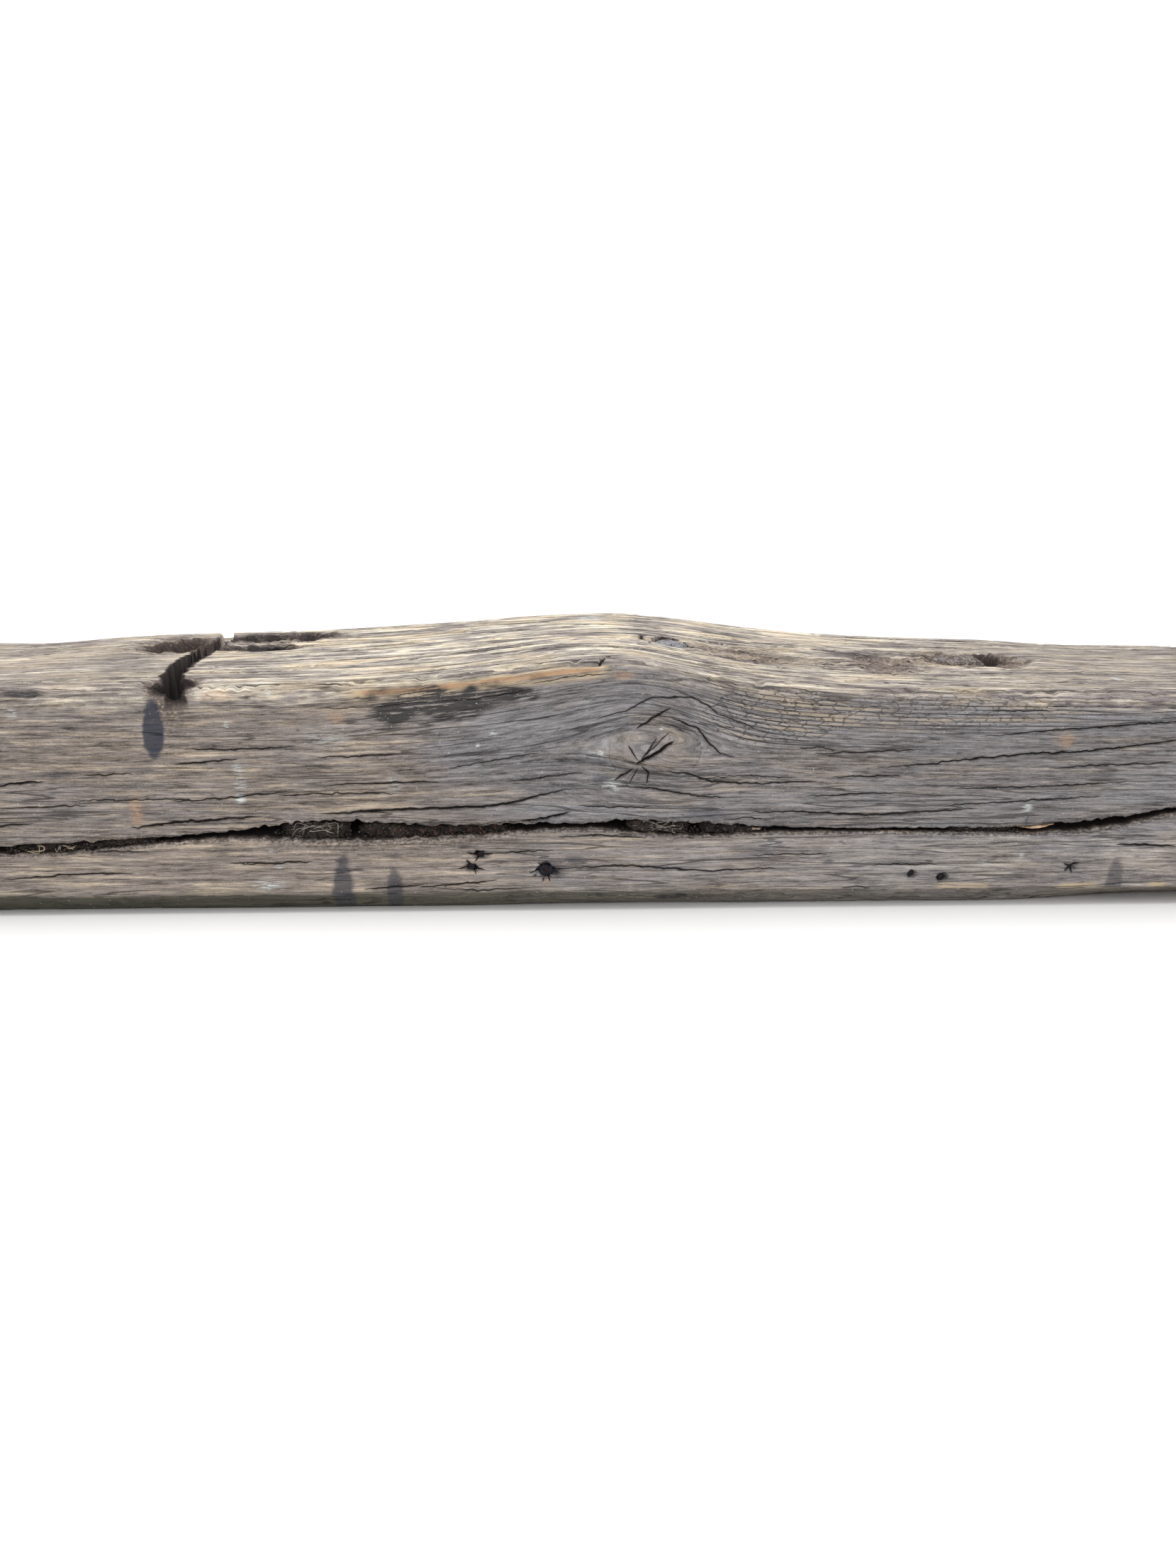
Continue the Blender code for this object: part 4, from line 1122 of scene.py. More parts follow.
def iron_finish(name, colours):
    """Rusted iron: blue-black scale over red-brown pitting."""
    f = Finish(name)
    place = f.place()
    pit = f.noise(place, (900, 900, 900), 4, 0.7, 1.0)
    scale = f.noise(place, (380, 380, 380), 3, 0.6, 7.0)
    scaled = scale.from_to(0.44, 0.60)
    colour = f.mix(colours.iron, colours.nail_rust, scaled)
    colour = f.toned(colour, pit * 1.4 + 0.2)
    return f.done(colour, 0.65 + pit * 0.3, pit, 0.0006, metallic=0.55 - scaled * 0.45)


def floor_finish(name, colour):
    """A pale, matt floor with the faintest mottle, white further away from the plank."""
    f = Finish(name)
    place = f.place()
    mottle = f.noise(place, (3, 3, 3), 4, 0.6)
    worn = tuple(0.97 * part for part in colour)
    away = f.node("ShaderNodeVectorMath", {"operation": "LENGTH"}, {0: place}, output="Value")
    shade = f.mix(f.mix(colour, worn, mottle), (0.985, 0.985, 0.985), away.from_to(0.8, 3.0))
    return f.done(shade, 0.9 + mottle * 0.05, mottle, 0.0002)


def tube(points, radius, sides=7, per_span=7):
    """Loops of a thin tapering tube along a smooth curve through points."""
    points = np.asarray(points, float)
    share = np.arange(len(points), dtype=float)
    at = np.linspace(0, len(points) - 1, (len(points) - 1) * per_span + 1)
    path = np.stack([along(at, list(zip(share, points[:, axis]))) for axis in range(3)], axis=-1)
    way = np.gradient(path, axis=0)
    way /= np.linalg.norm(way, axis=1, keepdims=True) + 1e-12
    across = np.cross(way, (0.13, 0.21, 1.0))
    across /= np.linalg.norm(across, axis=1, keepdims=True) + 1e-12
    second = np.cross(way, across)
    angle = np.linspace(0, 2 * math.pi, sides, endpoint=False)
    taper = np.sqrt(np.clip(1.06 - np.linspace(-1, 1, len(at)) ** 4, 0.05, 1)) * radius
    ring = np.cos(angle)[None, :, None] * across[:, None] - np.sin(angle)[None, :, None] * second[:, None]
    return path[:, None] + ring * taper[:, None, None]


def joined(name, sleeves):
    """One mesh from many closed sleeves."""
    vertices, quads, fans, start = [], [], [], 0
    for points in sleeves:
        loops, count = points.shape[:2]
        q, t = sleeve_faces(loops, count)
        flat = points.reshape(-1, 3)
        ends = [part.mean(axis=0, keepdims=True) for part in (flat[:count], flat[-count:])]
        vertices += [flat, *ends]
        quads.append(q + start)
        fans.append(t + start)
        start += loops * count + 2
    return mesh_from(name, np.vstack(vertices), np.vstack(quads), np.vstack(fans), {})


def crumb_loops(rng, middle, size):
    """Loops of a little broken lump."""
    tall = np.linspace(-0.92, 0.92, 5)
    angle = np.linspace(2 * math.pi, 0, 7, endpoint=False)
    radius = np.sqrt(1 - tall**2)[:, None] * (1 + rng.uniform(-0.25, 0.25, (5, 7)))
    loops = np.stack([
        radius * np.cos(angle), radius * np.sin(angle), tall[:, None] + rng.uniform(-0.12, 0.12, (5, 7)),
    ], axis=-1) * size * rng.uniform(0.6, 1.3, 3)
    turn = Matrix.Rotation(rng.uniform(0, 6.28), 3, rng.normal(size=3))
    return loops @ np.array(turn).T + middle


# Packed soil in the shake's mouth: its start and end along the front, and how red its rot is.
CLODS = {
    "soil_left_end": (-0.388, -0.292, 0.15), "soil_root_clump": (-0.212, -0.166, 0.10),
    "soil_red_rot": (-0.160, -0.058, 0.85), "soil_knot_pocket": (0.020, 0.064, 0.20),
    "soil_right_of_pocket": (0.070, 0.114, 0.30), "soil_right_end": (0.244, 0.290, 0.25),
}

# Grass, stalk and rootlets: radius, how many more hairs lie about, and points (x, y, rise above the shake).
STRANDS = {
    "grass_loop": (0.0005, 1, (
        (-0.3750, -0.1228, -0.0012), (-0.3700, -0.1232, -0.0016), (-0.3664, -0.1234, -0.0010),
        (-0.3660, -0.1234, 0.0010), (-0.3676, -0.1230, 0.0018), (-0.3710, -0.1222, 0.0020))),
    "grass_strands": (0.0004, 2, (
        (-0.3560, -0.1216, 0.0012), (-0.3520, -0.1230, 0.0006), (-0.3495, -0.1232, -0.0012),
        (-0.3450, -0.1218, -0.0004))),
    "pale_stalk": (0.0006, 1, (
        (0.1000, -0.1212, -0.0012), (0.1060, -0.1230, 0.0000), (0.1120, -0.1230, 0.0006))),
    "rootlets_left": (0.0004, 8, (
        (-0.2020, -0.1212, -0.0030), (-0.1960, -0.1232, 0.0010), (-0.1880, -0.1226, 0.0030),
        (-0.1800, -0.1236, -0.0010), (-0.1740, -0.1212, -0.0034))),
    "rootlets_pocket": (0.0004, 6, (
        (0.0300, -0.1212, -0.0020), (0.0370, -0.1230, 0.0010), (0.0450, -0.1222, -0.0008),
        (0.0520, -0.1234, 0.0014), (0.0580, -0.1212, 0.0000))),
}
SPLINTER = (0.2940, 0.3175, -0.1185, 0.0150)


def size(name, description, default, low=0.0):
    return FloatProperty(
        name=name, description=description, default=default, min=low, unit="LENGTH", precision=4
    )


def colour(name, description, default):
    return FloatVectorProperty(
        name=name, description=description, default=default, size=3, min=0.0, max=1.0, subtype="COLOR"
    )


class PlankSizes(bpy.types.PropertyGroup):
    """The sizes of the baulk"""

    length: size("Length", "From end to end", LIMB_HIGH.x - LIMB_LOW.x, 0.1)
    depth: size("Depth", "From the front face to the back", LIMB_HIGH.y - LIMB_LOW.y, 0.05)
    height: size("Height", "Height of the section away from the swelling over the knot", 0.150, 0.05)
    front_arris: size("Front Arris", "Radius of the worn upper front arris", 0.010)
    back_arris: size("Back Arris", "Radius of the upper back arris", 0.005)
    chamfer: size("Chamfer", "Height and depth of the lower front chamfer", 0.013)
    ring_width: size("Ring Width", "Thickness of a year's growth", 0.0016, 0.0005)
    spacing: size("Spacing", "Distance between mesh points up the faces", 0.0009, 0.0004)


class PlankColours(bpy.types.PropertyGroup):
    """The colours of the timber and of what is in it"""

    brown: colour("Brown", "Weathered brown of the left and lower front", (0.246, 0.208, 0.183))
    grey: colour("Grey", "Silver grey of the middle and right", (0.203, 0.195, 0.201))
    tan: colour("Tan", "Warm fibres where the grey has worn off", (0.460, 0.375, 0.282))
    bleached: colour("Bleached", "Sun-bleached top", (0.700, 0.640, 0.530))
    top_shade: colour("Top Shade", "Purple-grey fibres in the bleached top", (0.240, 0.205, 0.200))
    knot_grey: colour("Knot Grey", "Top knot", (0.262, 0.264, 0.288))
    end_grain: colour("End Grain", "Sawn ends", (0.235, 0.200, 0.170))
    # Painted shade: this dark fills the shake's mouth, the slot, the rot hole, the hollows and the rims round
    # the top knot and the stub; the rootlets take it for their dark joints.
    inner: colour("Inner", "Timber inside the shake and the slot", (0.034, 0.023, 0.021))
    # Painted shade: near black at the bottom of splits and checks and deepest in the shake and the hollows;
    # also the darkest soil.
    split: colour("Split", "Bottom of splits and checks", (0.014, 0.012, 0.012))
    soil: colour("Soil", "Packed soil", (0.040, 0.030, 0.026))
    red_rot: colour("Red Rot", "Crumbled red-rotted wood", (0.130, 0.058, 0.040))
    ash: colour("Ash", "Grey-white bits in the soil", (0.230, 0.225, 0.230))
    moss: colour("Moss", "Dull moss", (0.070, 0.078, 0.036))
    straw: colour("Straw", "Pale dry stems and straw-coloured fibres", (0.580, 0.455, 0.300))
    root_pale: colour("Root Skin", "Skin of the rootlets", (0.300, 0.265, 0.235))
    root_dark: colour("Root Brown", "Darker joints of roots", (0.200, 0.150, 0.110))
    # Algae, darkened further as painted shade for the chamfer and the underside, which face down.
    algae_and_shade: colour("Algae", "Green-black growth low on the front", (0.064, 0.066, 0.046))
    rust: colour("Orange", "Orange-tan wood and rust stain", (0.520, 0.320, 0.185))
    fresh: colour("Fresh", "Freshly torn wood", (0.620, 0.450, 0.320))
    rotted: colour("Rotted", "Crumbling rotted wood", (0.150, 0.112, 0.102))
    char: colour("Black Rot", "Blackened wood", (0.060, 0.055, 0.055))
    iron: colour("Iron Stain", "Blue-black stain that iron leaves in hardwood", (0.045, 0.048, 0.068))
    nail_rust: colour("Nail Rust", "Rust on the nail ends", (0.046, 0.026, 0.020))
    paint: colour("Paint", "Old white specks and dashes", (0.700, 0.745, 0.745))
    floor: colour("Floor", "Studio floor", (0.950, 0.950, 0.947))


def bake_layout(mesh, points, kinds, caps, hidden):
    """Lays a limb out flat: its length across the map, its section up it, and its two ends above."""
    loops, count = points.shape[:2]
    middle = points[loops // 2]
    steps = np.linalg.norm(np.roll(middle, -1, axis=0) - middle, axis=1)
    steps = steps * np.where(np.isin(kinds, hidden), 0.2, 1.0)
    up = np.concatenate([[0.0], np.cumsum(steps)])
    up = 0.005 + 0.785 * up / up[-1]
    along_map = 0.005 + 0.99 * (points[:, :, 0].mean(axis=1) / (2 * points[..., 0].max()) + 0.5)
    low, high = points.min(axis=(0, 1)), points.max(axis=(0, 1))

    def end_map(i, j):
        point = points[i, j % count]
        across = 0.01 + 0.30 * (point[..., 1] - low[1]) / (high[1] - low[1]) + 0.35 * (i > loops / 2)
        return np.stack([across, 0.81 + 0.18 * (point[..., 2] - low[2]) / (high[2] - low[2])], axis=-1)

    i, j = (grid.ravel() for grid in np.meshgrid(np.arange(loops - 1), np.arange(count), indexing="ij"))
    on_end = ((i < caps) | (i >= loops - caps - 1))[:, None]
    corners = [
        np.where(on_end, end_map(a, b), np.stack([along_map[a], up[b]], axis=-1))
        for a, b in ((i, j), (i + 1, j), (i + 1, j + 1), (i, j + 1))
    ]
    j = np.arange(count)
    fans = []
    for a, order in ((np.zeros_like(j), (0, 1)), (np.full_like(j, loops - 1), (1, 0))):
        centre = end_map(a, j).mean(axis=0)
        ring = [end_map(a, j + step) for step in order]
        fans.append(np.stack([*ring, np.broadcast_to(centre, (count, 2))], axis=1))
    flat = np.concatenate([np.stack(corners, axis=1).reshape(-1, 2), np.concatenate(fans).reshape(-1, 2)])
    layer = mesh.uv_layers.new(name="OFBake")
    layer.data.foreach_set("uv", flat.astype(np.float32).ravel())


LIMB_STATIONS = (
    (-0.7, 0.7, 0.0030), (-0.42, 0.42, 0.0017), (-0.600, -0.596, 0.0008), (0.596, 0.7, 0.0008),
    (-0.355, -0.205, 0.0012), (-0.312, -0.262, 0.0008), (0.004, 0.165, 0.0010), (0.255, 0.345, 0.0012),
    (-0.092, -0.072, 0.0008), (-0.044, -0.025, 0.0009), (0.212, 0.248, 0.0009), (0.285, 0.330, 0.0012),
)


def build_limb(context, name, outline_of, middle, upper, hidden, finish):
    """A limb: its swept section, weathered, in one closed mesh that stands for the CAD limb.

    The ends shrink towards middle, and hidden gives the outline's runs that face the shake.
    """
    scene = context.scene
    baulk = Baulk(scene.plank_sizes)
    caps = 30
    xs, scale = with_caps(stations(baulk.length / 2, LIMB_STATIONS), caps)
    spacing = scene.plank_sizes.spacing * (1 if upper else LOWER_FINER)
    ys, zs, kinds = outline_of(baulk, xs, spacing)
    points, outward = section_points(xs, scale, ys, zs, middle)
    points, fields = weather_limb(baulk, points, outward, kinds, upper)
    mesh = sleeve(name + "_timber", points, fields)
    bake_layout(mesh, points, kinds, caps, hidden)
    return add_piece(name + "_timber", mesh, finish, [name])


class PLANK_OT_upper_limb(bpy.types.Operator):
    """Builds the limb above the shake, with its slot, hollows, splits and rot"""

    bl_idname = "plank.upper_limb"
    bl_label = "Upper Limb"

    def execute(self, context):
        finish = timber_finish("upper_wood_weathered", context.scene.plank_colours, 1.05)
        build_limb(context, "upper_limb", upper_outline, (0.0, 0.110), True, (5, 6), finish)
        return {"FINISHED"}


class PLANK_OT_lower_limb(bpy.types.Operator):
    """Builds the limb below the shake, with its chamfer, nail holes and splits"""

    bl_idname = "plank.lower_limb"
    bl_label = "Lower Limb"

    def execute(self, context):
        finish = timber_finish("lower_wood_weathered", context.scene.plank_colours, 1.20)
        build_limb(context, "lower_limb", lower_outline, (0.0, 0.030), False, (3, 4), finish)
        return {"FINISHED"}


class PLANK_OT_front_knot(bpy.types.Operator):
    """Builds the branch stub in the front face, split in a star, with its root in its socket"""

    bl_idname = "plank.front_knot"
    bl_label = "Front Knot"

    def execute(self, context):
        baulk = Baulk(context.scene.plank_sizes)
        middle_x, middle_z, reach_x, reach_z = FRONT_KNOT
        shares = np.concatenate([np.linspace(0.02, 1.0, 48), np.linspace(0.985, 0.62, 12)])[:, None]
        back = np.concatenate([np.zeros(48), np.linspace(0.0015, 0.112, 12)])[:, None]
        angle = turns(132)
        points = np.stack([
            middle_x + shares * reach_x * np.cos(angle), baulk.front + back + 0 * angle,
            middle_z + shares * reach_z * np.sin(angle)], axis=-1)
        outward = np.zeros_like(points)
        outward[:48, :, 1] = -1
        outward[48:, :, 0], outward[48:, :, 2] = np.cos(angle), np.sin(angle)
        points, fields = weather_limb(baulk, points, outward, np.zeros(132, int), True, socket=False)
        points[..., 1] += 0.00012 * ramp(shares, 0.96, 1.0)
        radius = shares * 0.5 * (reach_x + reach_z)
        fields["split"][..., 3] = radius / 0.0021 + 0.5 * noise(points, (90, 90, 90), 21, 2)
        fields["split"][..., 2] = 0.10
        fields["zone"][..., 1] *= 1 - 0.25 * ramp(shares, 1.0, 0.60)
        mesh = sleeve("front_knot_wood", points, fields)
        colours = context.scene.plank_colours
        finish = timber_finish("knot_wood_weathered", colours, 1.0)
        add_piece("front_knot_wood", mesh, finish, ["front_knot"])
        return {"FINISHED"}


class PLANK_OT_top_knot(bpy.types.Operator):
    """Builds the grey knot plug in the top, sunk a little below the timber round it"""

    bl_idname = "plank.top_knot"
    bl_label = "Top Knot"

    def execute(self, context):
        middle_x, middle_y, reach_x, reach_y = TOP_KNOT
        shares = np.concatenate([np.linspace(0.03, 1.0, 26), np.linspace(0.97, 0.62, 8)])[:, None]
        down = np.concatenate([np.zeros(26), np.linspace(0.0015, 0.036, 8)])[:, None]
        angle = turns(84)
        points = np.stack([
            middle_x + shares * reach_x * np.cos(angle), middle_y + shares * reach_y * np.sin(angle),
            0.1684 - down + 0 * angle], axis=-1)
        radius = shares * 0.5 * (reach_x + reach_y)
        rings = radius / 0.0021 + 1.3 * noise(points, (150, 110, 120), 22, 3)
        points[..., 2] += 0.0007 * noise(points, (160, 160, 160), 23, 3) - 0.0012 * ramp(shares, 0.82, 1.0)
        rim = knob_away(points[..., 0], points[..., 1]) / shares
        points[..., 0] = middle_x + (points[..., 0] - middle_x) / rim
        points[..., 1] = middle_y + (points[..., 1] - middle_y) / rim
        points[..., 2] += 0.04 * (points[..., 1] - middle_y) - 0.05 * (points[..., 0] - middle_x)
        # At its rim, where it meets the groove round it, the plug takes painted shade and a darker soil
        # colour.
        fields = even_fields(
            points.shape[:2],
            np.stack([angle * 0.016 + 0 * radius, points[..., 2] * 0.5, radius + 0 * angle], axis=-1),
            (9, 0, 0.40, rings), (0.06, 1, 0, 0.8 * ramp(shares, 0.93, 1.0)),
            (0.15, 0.5 * ramp(shares, 0.90, 1.0), 0, 0))
        mesh = sleeve("top_knot_wood", points, fields)
        colours = context.scene.plank_colours
        finish = timber_finish("grey_knot_wood_weathered", colours, 1.10, colours.knot_grey)
        add_piece("top_knot_wood", mesh, finish, ["top_knot"])
        return {"FINISHED"}


class PLANK_OT_rotted_stub(bpy.types.Operator):
    """Builds the crumbling stub of a knot that is left in the right hollow"""

    bl_idname = "plank.rotted_stub"
    bl_label = "Rotted Stub"

    def execute(self, context):
        turn = np.linspace(0.03, 1.0, 34)[:, None] * math.pi / 2
        angle = turns(90)
        lobes = 1 + 0.10 * np.sin(3 * angle + 0.6) + 0.06 * np.sin(5 * angle)
        points = np.stack([
            STUB_MIDDLE[0] + STUB_REACH[0] * np.sin(turn) ** 0.8 * np.cos(angle) * lobes,
            STUB_MIDDLE[1] + STUB_REACH[1] * np.sin(turn) ** 0.8 * np.sin(angle) * lobes,
            STUB_MIDDLE[2] + STUB_REACH[2] * np.cos(turn) ** 0.6 + 0 * angle], axis=-1)
        away = points - STUB_MIDDLE
        away /= np.linalg.norm(away, axis=-1, keepdims=True) + 1e-9
        rough = 0.0022 * noise(points, (150, 90, 150), 24, 3) + 0.0009 * noise(points, (420, 300, 420), 25, 2)
        shelf = 0.0010 * np.abs(2 * ((points[..., 2] / 0.0031) % 1) - 1)
        points = points + away * (rough + shelf)[..., None]
        fields = even_fields(
            points.shape[:2], points[..., [1, 0, 2]], (9, 0, 0.7, points[..., 2] / 0.0024 + rough * 300),
            (0.12, 0.9, 0, 0), (0.30, 0.5 * ramp(turn, 1.2, 1.57), 0, 0))
        mesh = sleeve("rotted_stub_wood", points, fields)
        finish = timber_finish("rotted_wood_weathered", context.scene.plank_colours, 0.82)
        add_piece("rotted_stub_wood", mesh, finish, ["rotted_knot_stub"])
        return {"FINISHED"}


class PLANK_OT_splinter(bpy.types.Operator):
    """Builds the torn sliver that is caught in the shake"""

    bl_idname = "plank.splinter"
    bl_label = "Lodged Splinter"

    def execute(self, context):
        baulk = Baulk(context.scene.plank_sizes)
        start, stop, middle_y, deep = SPLINTER
        x = np.linspace(start, stop, 44)[:, None]
        angle = turns(26)
        share = (x - start) / (stop - start)
        taper = np.clip(np.minimum(share * 2.6, (1 - share) * 1.7 + 0.12), 0.06, 1) ** 0.7
        points = np.stack([
            x + 0.0035 * np.cos(angle) * (share - 0.4),
            middle_y - 0.5 * deep * np.cos(angle) * taper,
            baulk.shake(x, middle_y) + 0.0006 + 0.0013 * np.sin(angle) * taper + 0.0012 * (share - 0.5),
        ], axis=-1)
        torn = noise(points, (90, 800, 500), 26, 3)
        points[..., 1] += 0.0009 * torn
        points[..., 2] += 0.0004 * noise(points, (120, 900, 500), 27, 2)
        mesh = sleeve("lodged_splinter_wood", points, {})
        finish = splinter_finish("fresh_splinter_wood", context.scene.plank_colours)
        add_piece("lodged_splinter_wood", mesh, finish, ["lodged_splinter"])
        return {"FINISHED"}


class PLANK_OT_packed_soil(bpy.types.Operator):
    """Packs soil, moss and crumbled wood into the mouth of the shake"""

    bl_idname = "plank.packed_soil"
    bl_label = "Packed Soil"

    def execute(self, context):
        baulk = Baulk(context.scene.plank_sizes)
        colours = context.scene.plank_colours
        for number, (name, (start, stop, redness)) in enumerate(CLODS.items()):
            rng = np.random.default_rng(100 + number)
            x = np.arange(start, stop, 0.0008)[:, None]
            angle = turns(46)
            share = (x - start) / (stop - start)
            ends = np.clip(np.minimum(share, 1 - share) * 9, 0.08, 1) ** 0.5
            line = np.concatenate([x * 90, x * 0 + number, x * 0], axis=1)[:, None]
            spread = 0.0017 * noise(line, 1, 28, 2)
            reach_y = 0.0078 * ends
            reach_z = (0.5 * baulk.mouth(x, baulk.front + 0.004) + 0.0004) * ends
            points = np.stack([
                x + 0 * angle,
                baulk.front + 0.0105 + spread - reach_y * np.cos(angle),
                baulk.shake(x, baulk.front) + reach_z * np.sign(np.sin(angle)) * np.abs(np.sin(angle)) ** 0.6,
            ], axis=-1)
            away = np.stack([0 * x + 0 * angle, -np.cos(angle) + 0 * x, 0.8 * np.sin(angle) + 0 * x], axis=-1)
            rough = 0.0012 * noise(points, (240, 240, 240), 29, 2)
            rough = rough + 0.0006 * noise(points, (700, 700, 700), 30, 2)
            points = points + away * rough[..., None]
            lumps = [points]
            for _ in range(int((stop - start) * 1500)):
                at = rng.uniform(start - 0.003, stop + 0.003)
                gape = float(baulk.mouth(np.array(at), baulk.front))
                z = float(baulk.shake(np.array(at), baulk.front)) + gape * rng.triangular(-0.48, -0.30, 0.45)
                lumps.append(crumb_loops(rng, (at, baulk.front + rng.uniform(0.0008, 0.0050), z),
                                         rng.uniform(0.0004, 0.0012)))
            mesh = joined(name + "_clod", lumps)
            add_piece(name + "_clod", mesh, soil_finish(name + "_crumbs", colours, redness), [name])
        return {"FINISHED"}


class PLANK_OT_dry_strands(bpy.types.Operator):
    """Lays the dry grass, the stalk and the rootlets in the shake"""

    bl_idname = "plank.dry_strands"
    bl_label = "Grass and Rootlets"

    def execute(self, context):
        baulk = Baulk(context.scene.plank_sizes)
        colours = context.scene.plank_colours
        grass = fibre_finish("dry_grass_stems", colours.root_dark, colours.tan)
        roots = fibre_finish("pale_root_skin", colours.inner, colours.root_pale)
        for number, (name, (radius, hairs, points)) in enumerate(STRANDS.items()):
            rng = np.random.default_rng(200 + number)
            points = np.array(points)

            def placed(path):
                path = np.array(path)
                path[:, 2] += baulk.shake(path[:, 0], path[:, 1])
                return path

            strands = [tube(placed(points), radius, sides=8, per_span=9)]
            low, high = points[:, 0].min() - 0.004, points[:, 0].max() + 0.004
            for _ in range(hairs):
                count = rng.integers(4, 7)
                in_order = rng.random() < 0.7
                x = rng.uniform(low, high, count)
                x = np.sort(x) if in_order else x
                gape = baulk.mouth(x, baulk.front)
                path = np.stack([x, baulk.front + rng.uniform(0.0006, 0.0035, count),
                                 gape * rng.uniform(-0.42, 0.42, count)], axis=-1)
                strands.append(tube(placed(path), radius * rng.uniform(0.35, 0.75), sides=6, per_span=8))
            slot = "pale_root" if name.startswith("rootlets") else "dry_grass"
            finish = roots if slot == "pale_root" else grass
            add_piece(name + "_fibres", joined(name + "_fibres", strands), finish, [name])
        return {"FINISHED"}


class PLANK_OT_nail_ends(bpy.types.Operator):
    """Sets the rusted ends of the spike and the nails in their holes"""

    bl_idname = "plank.nail_ends"
    bl_label = "Nail Ends"

    def execute(self, context):
        baulk = Baulk(context.scene.plank_sizes)
        finish = iron_finish("rusted_iron_scale", context.scene.plank_colours)
        for number, (name, (x, z, radius)) in enumerate(NAILS.items()):
            shares = np.concatenate([
                np.linspace(0.05, 0.97, 12), np.full(10, 1.0), np.linspace(0.9, 0.1, 5)])[:, None]
            deep = np.concatenate([0.0004 * np.linspace(0, 1, 12) ** 2, np.linspace(0.0007, 0.040, 10),
                                   np.linspace(0.041, 0.044, 5)])[:, None]
            angle = turns(40)
            points = np.stack([
                x + shares * radius * np.cos(angle), baulk.front + 0.0024 + deep + 0 * angle,
                z + shares * radius * np.sin(angle)], axis=-1)
            rough = noise(points, (700, 300, 700), 31 + number, 3) * radius
            points[:12, :, 1] += 0.0008 + 0.30 * rough[:12]
            points[..., [0, 2]] += (points[..., [0, 2]] - (x, z)) * 0.35 / radius * rough[..., None]
            mesh = sleeve(name + "_iron", points, {})
            add_piece(name + "_iron", mesh, finish, [name])
        return {"FINISHED"}


FLOOR_REACH = 80
CAMERA_PLACE = (-0.062, -0.950, 0.295)
CAMERA_ANGLES = (13.98, 3.84, 0.71)
CAMERA_LENS, CAMERA_SENSOR = 29.21, 36.0
SOFTBOX_PLACE, SOFTBOX_TILT = (-0.25, 0.15, 1.9), (4, -8, 0)
SOFTBOX_LENGTH, SOFTBOX_WIDTH, SOFTBOX_WATTS = 2.6, 1.6, 26.0
SKY_STRENGTH = 1.05


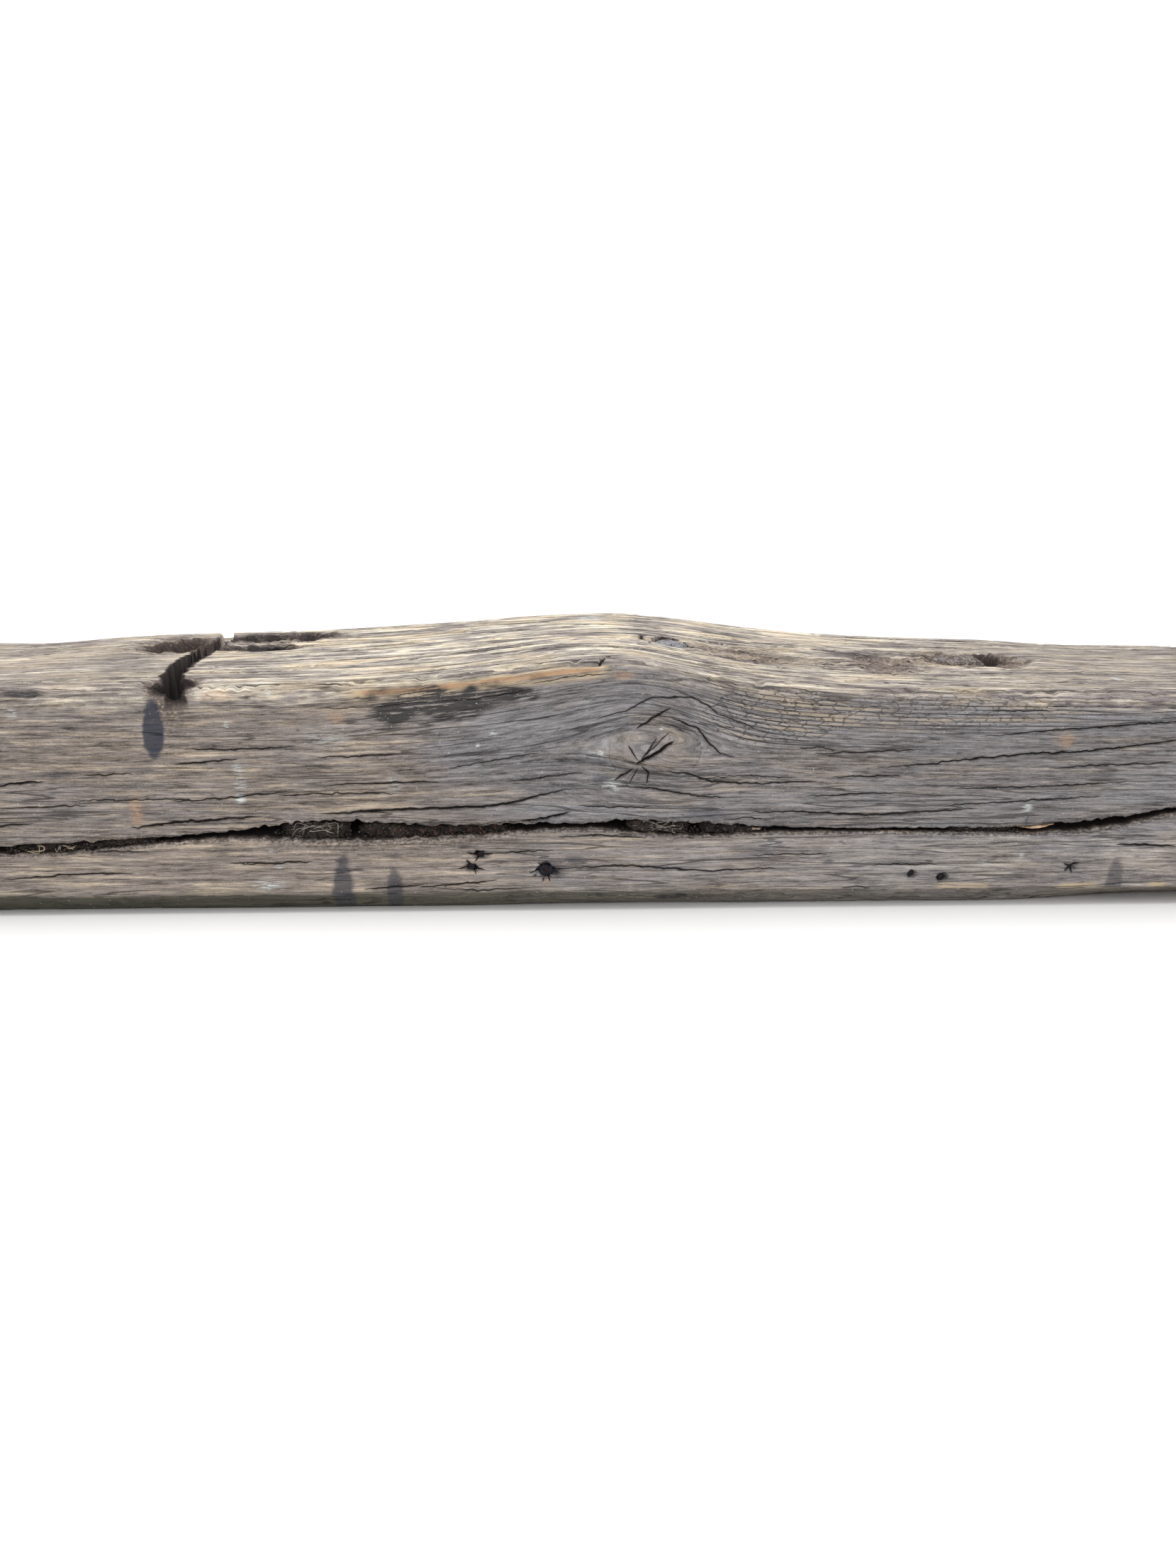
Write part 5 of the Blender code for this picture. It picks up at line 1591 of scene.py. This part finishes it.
class PLANK_OT_stage(bpy.types.Operator):
    """Sets the pale floor, the soft light and the camera"""

    bl_idname = "plank.stage"
    bl_label = "Stage"

    def execute(self, context):
        scene = context.scene
        mesh = bpy.data.meshes.new("floor")
        corners = [(x * FLOOR_REACH, y * FLOOR_REACH, 0) for x, y in ((-1, -1), (1, -1), (1, 1), (-1, 1))]
        mesh.from_pydata(corners, [], [(0, 1, 2, 3)])
        floor = bpy.data.objects.new("floor", mesh)
        floor.location.z = FLOOR_LEVEL
        mesh.materials.append(floor_finish("studio_floor", scene.plank_colours.floor))
        scene.collection.objects.link(floor)

        world = bpy.data.worlds.new("soft_surround")
        world.use_nodes = True
        sky = world.node_tree.nodes["Background"]
        sky.inputs["Color"].default_value = (1.0, 1.0, 1.0, 1.0)
        sky.inputs["Strength"].default_value = SKY_STRENGTH
        scene.world = world
        scene.view_settings.view_transform = "Standard"
        scene.view_settings.look = "None"

        lamp = bpy.data.lights.new("overhead_softbox", "AREA")
        lamp.shape, lamp.energy = "RECTANGLE", SOFTBOX_WATTS
        lamp.size, lamp.size_y = SOFTBOX_LENGTH, SOFTBOX_WIDTH
        softbox = bpy.data.objects.new("overhead_softbox", lamp)
        softbox.location = SOFTBOX_PLACE
        softbox.rotation_euler = [math.radians(angle) for angle in SOFTBOX_TILT]
        scene.collection.objects.link(softbox)

        down, yaw, roll = (math.radians(angle) for angle in CAMERA_ANGLES)
        forward = np.array((math.sin(yaw) * math.cos(down), math.cos(yaw) * math.cos(down), -math.sin(down)))
        right = np.cross(forward, (0, 0, 1))
        right /= np.linalg.norm(right)
        up = np.cross(right, forward)
        tilted = math.cos(roll) * right + math.sin(roll) * up
        upright = math.cos(roll) * up - math.sin(roll) * right
        lens = bpy.data.cameras.new("camera")
        lens.sensor_width, lens.lens, lens.clip_start = CAMERA_SENSOR, CAMERA_LENS, 0.02
        camera = bpy.data.objects.new("camera", lens)
        turn = Matrix(np.array((tilted, upright, -forward)).T.tolist()).to_4x4()
        camera.matrix_world = Matrix.Translation(CAMERA_PLACE) @ turn
        scene.collection.objects.link(camera)
        scene.camera = camera
        return {"FINISHED"}


STEPS = (
    PLANK_OT_upper_limb, PLANK_OT_lower_limb, PLANK_OT_front_knot, PLANK_OT_top_knot, PLANK_OT_rotted_stub,
    PLANK_OT_splinter, PLANK_OT_packed_soil, PLANK_OT_dry_strands, PLANK_OT_nail_ends, PLANK_OT_stage,
)


class PLANK_PT_steps(bpy.types.Panel):
    """Sizes, colours and the steps that build the plank"""

    bl_label = "Scaffold Sole Plank"
    bl_space_type = "VIEW_3D"
    bl_region_type = "UI"
    bl_category = "Plank"

    def draw(self, context):
        for group in (context.scene.plank_sizes, context.scene.plank_colours):
            box = self.layout.box()
            for key in group.bl_rna.properties.keys():
                if key not in ("name", "rna_type"):
                    box.prop(group, key)
        for step in STEPS:
            self.layout.operator(step.bl_idname)


CLASSES = (PlankSizes, PlankColours, *STEPS, PLANK_PT_steps)


def register():
    for made in CLASSES:
        bpy.utils.register_class(made)
    bpy.types.Scene.plank_sizes = PointerProperty(type=PlankSizes)
    bpy.types.Scene.plank_colours = PointerProperty(type=PlankColours)


def unregister():
    del bpy.types.Scene.plank_sizes
    del bpy.types.Scene.plank_colours
    for made in reversed(CLASSES):
        bpy.utils.unregister_class(made)


def main():
    register()
    for step in STEPS:
        family, action = step.bl_idname.split(".")
        getattr(getattr(bpy.ops, family), action)()


if __name__ == "__main__":
    main()
